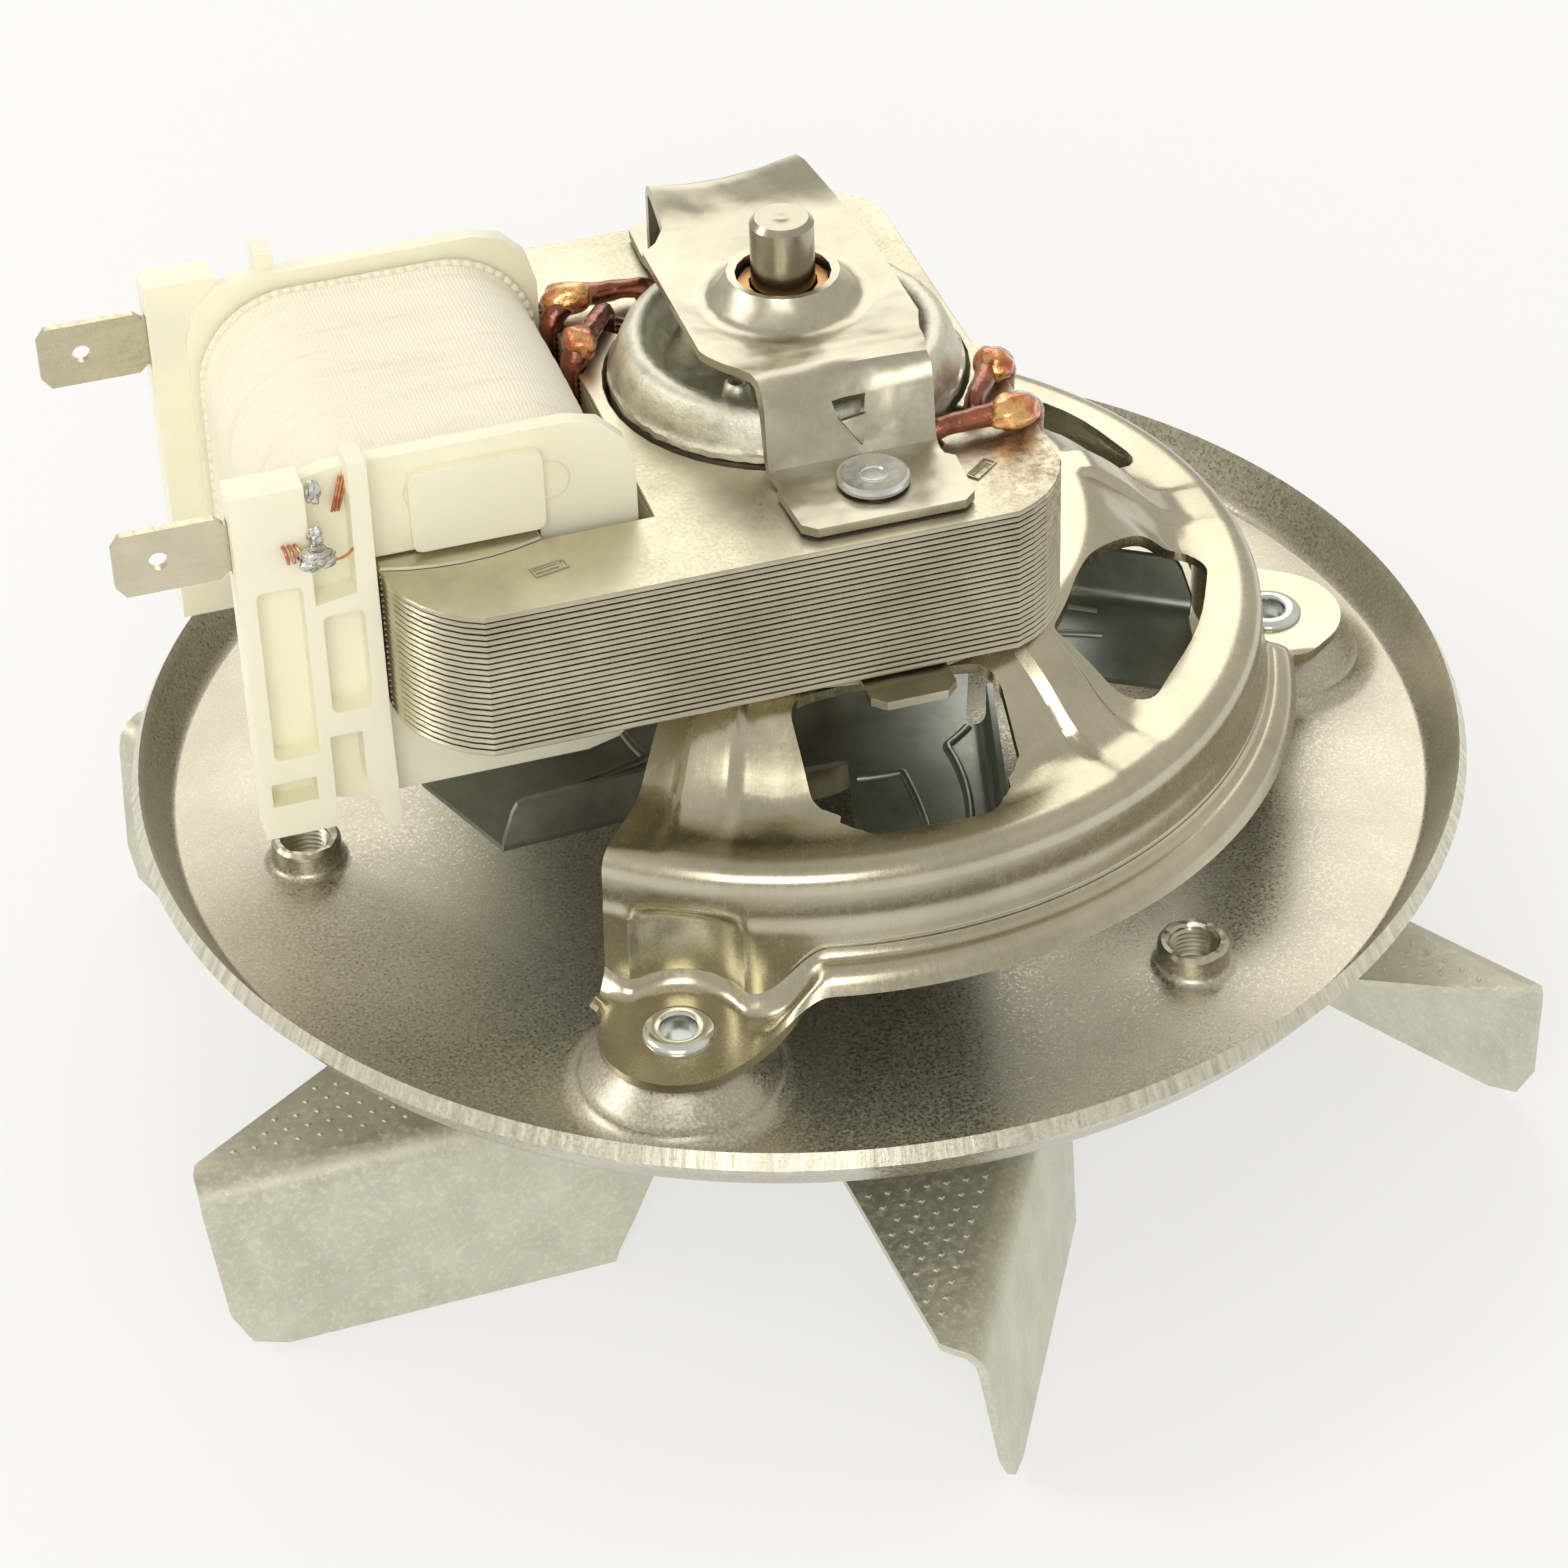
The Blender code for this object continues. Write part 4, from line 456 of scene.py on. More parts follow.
finishes = {
    "plate_steel": plate_finish(),
    "bright_steel": sheet_finish(
        "bright_steel", (0.58, 0.54, 0.405), (0.45, 0.415, 0.305), 1.0, 0.24, 1500, 60, 0.000006, 0.06,
        stretch=(1.0, 0.02, 1.0), scratch_scale=4200.0, scratch_share=0.13, rough_swing=0.03,
        round_marks=True),
    "zinc_steel": sheet_finish(
        "zinc_steel", (0.56, 0.53, 0.415), (0.46, 0.435, 0.335), 1.0, 0.32, 1800, 70, 0.000002, 0.08,
        stretch=(1.0, 1.0, 0.02), scratch_scale=3600.0, scratch_share=0.1, rough_swing=0.03, dent=0.8),
    "rivet_zinc": sheet_finish(
        "rivet_zinc", (0.80, 0.81, 0.77), (0.72, 0.735, 0.70), 1.0, 0.2, 1200, 400, 0.000001, 0.02,
        rough_swing=0.02),
    "galvanised_sheet": sheet_finish(
        "galvanised_sheet", (0.40, 0.425, 0.37), (0.27, 0.29, 0.255), 0.9, 0.36, 1500, 120, 0.000006, 0.08,
        scratch_share=0.1, rough_swing=0.04),
    "aluminised_sheet": sheet_finish(
        "aluminised_sheet", (0.63, 0.61, 0.50), (0.53, 0.51, 0.41), 0.75, 0.48, 1600, 160, 0.00004, 0.3,
        scratch_share=0.1),
    "tinned_brass": sheet_finish(
        "tinned_brass", (0.62, 0.575, 0.42), (0.54, 0.50, 0.36), 0.9, 0.36, 1600, 200, 0.00002, 0.12,
        stretch=(0.05, 1.0, 1.0), scratch_share=0.2),
}
print("sheet finishes:", list(finishes))

# %% [markdown]
# ## Laminations, castings, copper, plastic and tape
# Silicon steel is left bare, so it stains and rusts. Cast aluminium is pitted, the copper keeps
# its brown varnish except where it was heated, and the moulded nylon lets a little light in.

# %% Other finishes
RUST_PLACE = (0.0175, -0.0225, -0.0164)
RUST_NEAR, RUST_FAR = 0.002, 0.011


def lamination_finish():
    """Silicon steel: brownish grey, satin, with darker oily stains and one patch of rust."""
    look, tree = new_finish("lamination_steel", Metallic=0.95, Roughness=0.36)
    place = spot(tree)
    color = two_tone(tree, noise(tree, place, 90, 4.0), 0.35, 0.65, (0.48, 0.45, 0.335), (0.66, 0.62, 0.47))
    stain = spread(tree, noise(tree, place, 35, 5.0), 0.56, 0.75, 0.0, 0.6)
    color = blend_color(tree, stain, color, (0.30, 0.26, 0.18))
    apart = add_node(tree, "ShaderNodeVectorMath", {0: place, 1: RUST_PLACE}, operation="DISTANCE")
    near = spread(tree, apart.outputs["Value"], RUST_NEAR, RUST_FAR, 1.0, 0.0)
    rust = product(tree, near, spread(tree, noise(tree, place, 900, 5.0, 0.75), 0.42, 0.62))
    color = blend_color(tree, product(tree, rust, 0.8), color, (0.21, 0.13, 0.075))
    grain = noise(tree, place, 2500, 2.0)
    return feed(look, color, bump(tree, grain, 0.3, 0.00002), spread(tree, grain, 0.3, 0.7, 0.28, 0.46))


def cast_finish():
    """Pressure-cast aluminium: light grey with pits and flow marks."""
    look, tree = new_finish("cast_rotor", Metallic=0.95, Roughness=0.4)
    place = spot(tree)
    flow = noise(tree, place, 420, 6.0, 0.7)
    color = two_tone(tree, flow, 0.35, 0.65, (0.60, 0.58, 0.48), (0.80, 0.78, 0.65))
    pits = bump(tree, noise(tree, place, 2200), 0.5, 0.00005, bump(tree, flow, 0.6, 0.00025))
    return feed(look, color, pits, spread(tree, flow, 0.3, 0.7, 0.36, 0.58))


def copper_finish():
    """Copper under brown varnish: dark red, with orange where the joint was heated."""
    look, tree = new_finish("varnished_copper", Metallic=0.9, Roughness=0.24, Coat_Weight=0.8,
                            Coat_Roughness=0.12)
    place = spot(tree)
    tone = noise(tree, place, 300, 4.0, 0.65)
    bead = add_node(tree, "ShaderNodeAttribute", attribute_name="bead").outputs["Fac"]
    wire = two_tone(tree, tone, 0.38, 0.62, (0.16, 0.04, 0.02), (0.42, 0.14, 0.07))
    melt = two_tone(tree, tone, 0.4, 0.56, (0.55, 0.13, 0.06), (0.92, 0.52, 0.20))
    dents = bump(tree, noise(tree, place, 900, 4.0), 0.7, 0.00025)
    return feed(look, blend_color(tree, bead, wire, melt), dents)


def plastic_finish():
    """Cream moulded nylon, with a little light inside it."""
    look, tree = new_finish("cream_plastic", Metallic=0.0, Roughness=0.42, Subsurface_Weight=0.25,
                            Subsurface_Scale=0.0015, Subsurface_Radius=(1.0, 0.9, 0.6))
    place = spot(tree)
    color = two_tone(tree, noise(tree, place, 60), 0.3, 0.7, (0.93, 0.90, 0.71), (0.97, 0.945, 0.77))
    skin = noise(tree, place, 1800, 2.0)
    return feed(look, color, bump(tree, skin, 0.15, 0.00005), spread(tree, skin, 0.3, 0.7, 0.36, 0.5))


def thread_wave(tree, wrap, way, scale):
    """The soft bands of threads that run one way."""
    sockets = {"Vector": wrap, "Scale": scale, "Distortion": 0.8, "Detail": 1.0}
    return add_node(tree, "ShaderNodeTexWave", sockets, bands_direction=way).outputs["Fac"]


def tape_finish():
    """Woven tape: crossing threads a quarter of a millimetre apart, drawn on the wrap's map."""
    look, tree = new_finish("woven_tape", Metallic=0.0, Roughness=0.75, Sheen_Weight=0.2)
    wrap = add_node(tree, "ShaderNodeUVMap", uv_map="wrap").outputs["UV"]
    weave = sum_of(tree, thread_wave(tree, wrap, "Y", 1050.0), thread_wave(tree, wrap, "X", 850.0))
    bands = noise(tree, stretched(tree, wrap, (0.12, 1.0, 1.0)), 420, 3.0, 0.7)
    base = two_tone(tree, bands, 0.5, 0.72, (0.97, 0.92, 0.74), (0.92, 0.79, 0.63))
    threads = product(tree, spread(tree, weave, 0.5, 1.7), 0.7)
    return feed(look, blend_color(tree, threads, base, (0.98, 0.95, 0.79)), bump(tree, weave, 0.45, 0.00009))


def lumpy_finish(name, metallic, rough, scale, detail, dark, light, strength, depth):
    """One noise in both colour and height, for cotton fibres or lumps of solder."""
    look, tree = new_finish(name, Metallic=metallic, Roughness=rough)
    lump = noise(tree, spot(tree), scale, detail)
    return feed(look, two_tone(tree, lump, 0.35, 0.65, dark, light), bump(tree, lump, strength, depth))


def ground_finish(name, light, dark, rough):
    """Turned or ground round metal: fine rings along the shaft."""
    look, tree = new_finish(name, Metallic=1.0, Roughness=rough)
    rings = noise(tree, stretched(tree, spot(tree), (0.05, 0.05, 1.0)), 3000, 3.0, 0.7)
    return feed(look, two_tone(tree, rings, 0.25, 0.75, dark, light), bump(tree, rings, 0.06, 0.00001),
                spread(tree, rings, 0.3, 0.7, rough - 0.03, rough + 0.05))


finishes |= {
    "lamination_steel": lamination_finish(),
    "cast_rotor": cast_finish(),
    "varnished_copper": copper_finish(),
    "cream_plastic": plastic_finish(),
    "woven_tape": tape_finish(),
    "cotton_cord": lumpy_finish("cotton_cord", 0.0, 0.8, 2600, 3.0, (0.84, 0.79, 0.62), (0.96, 0.93, 0.78),
                                0.5, 0.0001),
    "solder": lumpy_finish("solder", 1.0, 0.25, 900, 4.0, (0.45, 0.44, 0.40), (0.85, 0.84, 0.78),
                           0.6, 0.0003),
    "shaft_steel": ground_finish("shaft_steel", (0.46, 0.42, 0.325), (0.40, 0.365, 0.28), 0.22),
    "sintered_bronze": ground_finish("sintered_bronze", (0.66, 0.38, 0.16), (0.42, 0.22, 0.09), 0.38),
}
print("finishes:", len(finishes))

# %% [markdown]
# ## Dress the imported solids
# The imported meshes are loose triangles. Weld joins them, and Edge Split keeps the hard corners,
# so round sheet shades smoothly and cut edges stay crisp.

# %% Dress the nodes
SMOOTH_ANGLE = math.radians(32)
WELD_REACH = 0.005 * MM


def dress(node, look):
    """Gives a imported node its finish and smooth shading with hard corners."""
    obj = nodes[node]
    obj.data.materials.clear()
    obj.data.materials.append(look)
    if "custom_normal" in obj.data.attributes:
        obj.data.attributes.remove(obj.data.attributes["custom_normal"])
    for face in obj.data.polygons:
        face.use_smooth = True
        face.material_index = 0
    obj.modifiers.new("join", "WELD").merge_threshold = WELD_REACH
    obj.modifiers.new("corners", "EDGE_SPLIT").split_angle = SMOOTH_ANGLE


for row in frame["record"]["subparts"]:
    dress(row["node"], finishes[row["material_slot"]])

# %% [markdown]
# ## Tools for the finer pieces
# Heights are in millimetres above the plate's floor, as in the model's source, so a piece can be
# compared with the solid it stands for. `finished` hands a piece to the model: it rides a body,
# takes its finish and hides the imported solids it stands for.

# %% Piece helpers


def at(x, y, z):
    """A place in metres from millimetres and a height over the plate's floor."""
    return Vector((x * MM, y * MM, z * MM + PLATE_FLOOR))


def height_of(z):
    """Millimetres over the plate's floor, from metres."""
    return (z - PLATE_FLOOR) / MM


def polar(radius, degrees):
    return (radius * math.cos(math.radians(degrees)), radius * math.sin(math.radians(degrees)))


def finished(name, build, slot, sharp, *stands_for, body="motor", look=None):
    """Turns a bmesh into a smooth-shaded piece that rides a body."""
    bmesh.ops.recalc_face_normals(build, faces=build.faces)
    piece = mesh_of(build, name)
    mesh = piece.data
    mesh.materials.append(finishes[look or slot])
    mesh.shade_smooth()
    mesh.set_sharp_from_angle(angle=math.radians(sharp))
    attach(piece, body)
    if stands_for:
        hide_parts(*stands_for)
    print("made", name, "with", len(mesh.polygons), "faces")


def frozen(obj, weld, spare=()):
    """The final mesh of an object, welded, as a bmesh. The object and the spare ones are dropped."""
    mesh = bpy.data.meshes.new_from_object(obj.evaluated_get(bpy.context.evaluated_depsgraph_get()))
    build = bmesh.new()
    build.from_mesh(mesh)
    bpy.data.batch_remove([mesh] + [part for old in (obj, *spare) for part in (old, old.data)])
    bmesh.ops.remove_doubles(build, verts=build.verts, dist=weld)
    return build


def merge(target, part):
    """Moves one bmesh into another."""
    loose = bpy.data.meshes.new("loose")
    part.to_mesh(loose)
    part.free()
    target.from_mesh(loose)
    bpy.data.meshes.remove(loose)


def face_up(build):
    """Turns a sheet's faces so that its upper side is the outer one."""
    bmesh.ops.recalc_face_normals(build, faces=build.faces)
    if sum(face.normal.z for face in build.faces) < 0:
        bmesh.ops.reverse_faces(build, faces=build.faces)


def spin_profile(build, profile, steps, centre=(0.0, 0.0), closed=True):
    """Adds a profile of radius and height points, turned about a vertical line."""
    x, y = centre
    verts = [build.verts.new(at(x + radius, y, height)) for radius, height in profile]
    ends = verts[1:] + verts[:1] if closed else verts[1:]
    edges = [build.edges.new(pair) for pair in zip(verts, ends)]
    bmesh.ops.spin(build, geom=verts + edges, cent=at(x, y, 0), axis=(0, 0, 1),
                   angle=math.tau, steps=steps, use_merge=True)
    bmesh.ops.remove_doubles(build, verts=build.verts, dist=0.0000005)


def wire_mesh(points, radius, shares=None, closed=False, sides=3, smooth=True):
    """A round wire through places, as a mesh; shares swell or thin it at each place."""
    curve = bpy.data.curves.new("wire", "CURVE")
    curve.dimensions, curve.resolution_u = "3D", 6
    curve.bevel_depth, curve.bevel_resolution, curve.use_fill_caps = radius * MM, sides, True
    spline = curve.splines.new("NURBS" if smooth else "POLY")
    spline.points.add(len(points) - 1)
    for i, (point, place) in enumerate(zip(spline.points, points)):
        point.co = (*at(*place), 1.0)
        point.radius = shares[i] if shares else 1.0
    spline.order_u = 3
    spline.use_cyclic_u = closed
    spline.use_endpoint_u = not closed
    return frozen(link_new(bpy.data.objects.new("wire", curve)), 0.000001)


print("piece helpers ready")

# %% [markdown]
# ## Tools for surfaces and solids
# Bent sheet starts as a flat grid of faces, holes and blocks start as outlines with soft corners,
# and cast metal or solder gets its unevenness by moving points along their normals. `shaped`
# thickens a surface and then cuts it, as sheet is drawn first and pierced afterwards.

# %% Surface helpers


def roughen(build, amount, scale, verts=None):
    """Moves points along their normals by a noise, as rough casting or solder is uneven."""
    build.normal_update()
    for vert in verts or build.verts:
        vert.co += vert.normal * wobble.noise(vert.co * scale) * amount * MM


def bent_grid(build, rows):
    """A grid of faces whose points are moved to the places in the rows."""
    count, steps = len(rows[0]) - 1, len(rows) - 1
    made = bmesh.ops.create_grid(build, x_segments=count, y_segments=steps, size=0.5)["verts"]
    for vert in made:
        i, j = round((vert.co.x + 0.5) * count), round((vert.co.y + 0.5) * steps)
        vert.co = at(*rows[j][i])


def soft_corners(points, radii, steps=4):
    """An open path in which each inner corner becomes a short curve."""
    path = [Vector(points[0])]
    for before, corner, after, radius in zip(points, points[1:], points[2:], radii):
        corner = Vector(corner)
        into, out = corner - Vector(before), Vector(after) - corner
        reach = min(radius, into.length * 0.48, out.length * 0.48)
        start, end = corner - into.normalized() * reach, corner + out.normalized() * reach
        for k in range(steps + 1):
            t = k / steps
            path.append(start * (1 - t) ** 2 + corner * 2 * t * (1 - t) + end * t ** 2)
    path.append(Vector(points[-1]))
    return path


def soft_ring(points, radii, steps=4):
    """A closed outline in which every corner becomes a short curve."""
    whole = [points[-1], *points, points[0]]
    return soft_corners(whole, radii, steps)[1:-1]


def add_prism(build, outline, low, high):
    """A straight block over an outline, between two heights."""
    base = [build.verts.new(at(x, y, low)) for x, y in outline]
    face = bmesh.ops.contextual_create(build, geom=base)["faces"]
    made = bmesh.ops.extrude_face_region(build, geom=face)["geom"]
    lifted = [v for v in made if isinstance(v, bmesh.types.BMVert)]
    bmesh.ops.translate(build, verts=lifted, vec=(0, 0, (high - low) * MM))
    bmesh.ops.recalc_face_normals(build, faces=build.faces)


def add_bar(build, radius, low, high, centre, segments):
    """A round bar between two heights."""
    made = bmesh.ops.create_cone(build, cap_ends=True, segments=segments, radius1=radius * MM,
                                 radius2=radius * MM, depth=(high - low) * MM)["verts"]
    bmesh.ops.translate(build, verts=made, vec=at(*centre, (low + high) / 2))


def add_blob(build, place, radii, turn=0.0, rough=0.15):
    """A lumpy ball with three radii, turned about the upright line."""
    made = bmesh.ops.create_icosphere(build, subdivisions=4, radius=1.0)["verts"]
    spin = Matrix.Rotation(math.radians(turn), 4, "Z")
    for vert in made:
        lump = 1.0 + rough * wobble.noise(vert.co * 1.7 + Vector(place))
        vert.co = at(*place) + spin @ (Vector(a * b for a, b in zip(vert.co, radii)) * lump * MM)
    return made


def shaped(build, thickness, tools=()):
    """The bmesh thickened to one side, then cut by or joined with other solids."""
    body = mesh_of(build, "blank")
    shell = body.modifiers.new("sheet", "SOLIDIFY")
    shell.thickness, shell.offset, shell.use_even_offset = thickness * MM, -1.0, True
    used = []
    for way, tool in tools:
        used.append(mesh_of(tool, "tool"))
        step = body.modifiers.new("step", "BOOLEAN")
        step.operation, step.solver, step.object = way, "EXACT", used[-1]
    return frozen(body, 0.000002, used)


print("surface helpers ready")

# %% [markdown]
# ## Laminations
# A stator is stacked from thin sheets so that eddy currents stay small. Each sheet is punched, and
# the punch rounds one edge, so the stack's side shows a fine line at every joint. Slices of the
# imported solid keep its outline, its bore and its slots, and a bevel rounds each sheet.

# %% Lamination stacks
SHEET_COUNT = 24
SHEET_GAP = 0.08 * MM
SHEET_ROUND = 0.19 * MM
SHEET_SHIFT = 0.035 * MM
SHARP_TURN = 1.2


def node_copy(node):
    """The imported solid's mesh with its triangles joined and its flat faces made whole."""
    build = bmesh.new()
    build.from_mesh(nodes[node].data)
    bmesh.ops.remove_doubles(build, verts=build.verts, dist=0.000005)
    bmesh.ops.dissolve_limit(build, angle_limit=math.radians(0.5), verts=build.verts, edges=build.edges)
    return build


def cut_level(build, height, keep_above):
    """Cuts the solid at a height, drops one side and closes the cut."""
    whole = build.verts[:] + build.edges[:] + build.faces[:]
    made = bmesh.ops.bisect_plane(build, geom=whole, plane_co=(0, 0, height), plane_no=(0, 0, 1),
                                  clear_inner=keep_above, clear_outer=not keep_above, dist=0.0000005)
    rim = [edge for edge in made["geom_cut"] if isinstance(edge, bmesh.types.BMEdge)]
    bmesh.ops.triangle_fill(build, use_beauty=True, use_dissolve=True, edges=rim,
                            normal=(0, 0, -1 if keep_above else 1))


def laminate(node, name):
    """One mesh of separate sheets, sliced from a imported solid."""
    low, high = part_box(node)
    pitch = (high.z - low.z) / SHEET_COUNT
    dice = random.Random(7)
    stack = bmesh.new()
    for k in range(SHEET_COUNT):
        sheet = node_copy(node)
        if k > 0:
            cut_level(sheet, low.z + k * pitch + SHEET_GAP, True)
        if k < SHEET_COUNT - 1:
            cut_level(sheet, low.z + (k + 1) * pitch - SHEET_GAP, False)
        sheet.normal_update()
        rims = [e for e in sheet.edges if len(e.link_faces) == 2 and e.calc_face_angle(0) > SHARP_TURN
                and abs(e.verts[0].co.z - e.verts[1].co.z) < 0.00001]
        bmesh.ops.bevel(sheet, geom=rims, offset=SHEET_ROUND, segments=1, profile=0.5,
                        affect="EDGES", clamp_overlap=True, material=-1)
        shift = Vector((dice.uniform(-1, 0), dice.uniform(-0.4, 0.4), 0)) * SHEET_SHIFT
        bmesh.ops.translate(sheet, verts=sheet.verts, vec=shift)
        merge(stack, sheet)
    finished(name, stack, "lamination_steel", 20.0, node)


laminate("stator_core", "stator_sheets")
laminate("coil_core", "coil_sheets")

# %% [markdown]
# ## The mounting plate
# The plate is drawn from one millimetre sheet: a low rim whose top edge was sheared and leans out,
# three raised seats for the bracket and three holes pulled up through the sheet. The curved parts
# are turned profiles; the flat floor is filled between their edges, and then the sheet gets its
# thickness downwards.

# %% Mounting plate
RIM_RADIUS, RIM_TOP = 65.0, 5.0
RIM_SKIRT, RIM_CUT_FOOT = 65.8, 3.55
PLATE_THICK, PLATE_BORE = 1.0, 7.5
BOSS_CIRCLE = 50.0
RIM_PROFILE = ((RIM_RADIUS, RIM_TOP), (64.4, 3.7), (63.5, 2.2), (62.98, 1.35), (62.6, 0.75), (62.25, 0.3),
               (61.95, 0.06), (61.7, 0.0))
SEAT_PROFILE = ((2.5, 4.3), (5.0, 4.3), (5.6, 4.2), (6.2, 3.8), (6.8, 3.25), (8.6, 1.6), (9.0, 1.32),
                (9.3, 1.2), (9.5, 0.85), (9.9, 0.55), (10.5, 0.2), (11.3, 0.0))
PULL_PROFILE = ((3.3, 2.4), (3.3, 0.9), (3.42, 0.5), (3.7, 0.2), (4.1, 0.05), (4.5, 0.0))
SEAT_ANGLES, PULL_ANGLES = (-120, 0, 120), (-60, 60, 180)


def add_plate():
    build = bmesh.new()
    spin_profile(build, RIM_PROFILE, 420, closed=False)
    for degrees in SEAT_ANGLES:
        spin_profile(build, SEAT_PROFILE, 72, polar(BOSS_CIRCLE, degrees), closed=False)
    for degrees in PULL_ANGLES:
        spin_profile(build, PULL_PROFILE, 48, polar(BOSS_CIRCLE, degrees), closed=False)
    bore = bmesh.ops.create_circle(build, cap_ends=False, segments=64, radius=PLATE_BORE * MM)["verts"]
    bmesh.ops.translate(build, verts=bore, vec=at(0, 0, 0))
    level = at(0, 0, 0.001).z
    edges = [e for e in build.edges if len(e.link_faces) < 2 and all(v.co.z < level for v in e.verts)]
    bmesh.ops.triangle_fill(build, use_beauty=True, use_dissolve=False, edges=edges, normal=(0, 0, 1))
    face_up(build)
    plate = shaped(build, PLATE_THICK)
    for vert in plate.verts:
        reach = math.hypot(vert.co.x, vert.co.y)
        if reach > (RIM_RADIUS + 0.5) * MM and vert.co.z > at(0, 0, 3.0).z:
            ragged = 0.12 * wobble.noise(vert.co * 700) + 0.1 * wobble.noise(vert.co * 160)
            factor = (RIM_SKIRT + 0.4 * ragged) * MM / reach
            vert.co.x, vert.co.y = vert.co.x * factor, vert.co.y * factor
            vert.co.z = at(0, 0, RIM_CUT_FOOT + ragged).z
    sheared = plate.verts.layers.float.new("sheared")
    for vert in plate.verts:
        reach = math.hypot(vert.co.x, vert.co.y) / MM
        vert[sheared] = float(reach > RIM_RADIUS - 0.05 and vert.co.z > at(0, 0, 3.0).z)
    finished("drawn_plate", plate, "plate_steel", 30.0, "mounting_plate")


add_plate()

# %% [markdown]
# ## The bell bracket
# One strip of bright sheet is drawn into a bell and then pierced. Its section changes round the
# shaft: a rib over each ear and between the windows, a pocket above each rivet, and a bead that
# dips into a flat ear.

# %% Bell bracket
SHEET = 0.9
EAR_RADIUS, EAR_POCKET, EAR_TOP = 7.4, 6.9, 5.5
BELL_WALL, BELL_LIP, LIP_HEIGHT = 45.9, 49.0, 9.3
TOP_BORE, TOP_RADIUS, BELL_TOP = 25.8, 28.4, 28.7
ROOF_RADIUS, ROOF, WALL_FOOT = 41.0, 20.5, 12.4
BELL_SPAN = 130.0
RIB_ANGLES = (-120, -60, 0, 60, 120)
TORN_WINDOW = ((29.2, -106.5), (30.4, -107.8), (36.4, -104.9), (37.2, -103.6), (37.8, -101.4), (38.0, -101.0),
               (38.6, -101.3), (40.6, -96.8), (40.4, -93.7), (41.1, -81.2), (38.9, -76.9), (38.0, -76.4),
               (37.5, -75.0), (36.4, -72.8), (31.6, -70.1), (30.5, -70.6), (29.6, -72.1))
TORN_CORNERS = (1.0, 2.0, 0.6, 0.1, 0.1, 0.05, 0.1, 0.8, 2.0, 1.2, 0.1, 0.1, 0.1, 0.1, 2.0, 1.5, 1.0)
SMOOTH_WINDOW = ((28.9, -40.0), (29.0, -32.0), (34.2, -15.0), (38.0, -11.8), (40.4, -15.0), (39.9, -30.0),
                 (39.4, -49.0), (36.2, -51.5), (30.3, -54.4), (29.6, -47.0))
SMOOTH_CORNERS = (2.0, 3.0, 4.0, 2.5, 3.0, 5.0, 2.5, 3.0, 0.8, 2.0)
PLAIN_CORNERS = (1.0, 2.8, 5.0, 2.8, 1.0)
REAR_WINDOW = ((29.2, 12.0), (40.4, 12.0), (41.5, 29.5), (40.4, 47.0), (29.2, 46.0))
BACK_WINDOW = ((29.2, 73.0), (40.4, 72.0), (41.5, 89.5), (38.5, 107.0), (29.2, 106.0))
LAND_HALF, LAND_CORNER = 8.0, 5.0


def ease(value):
    value = max(0.0, min(1.0, value))
    return value * value * (3 - 2 * value)


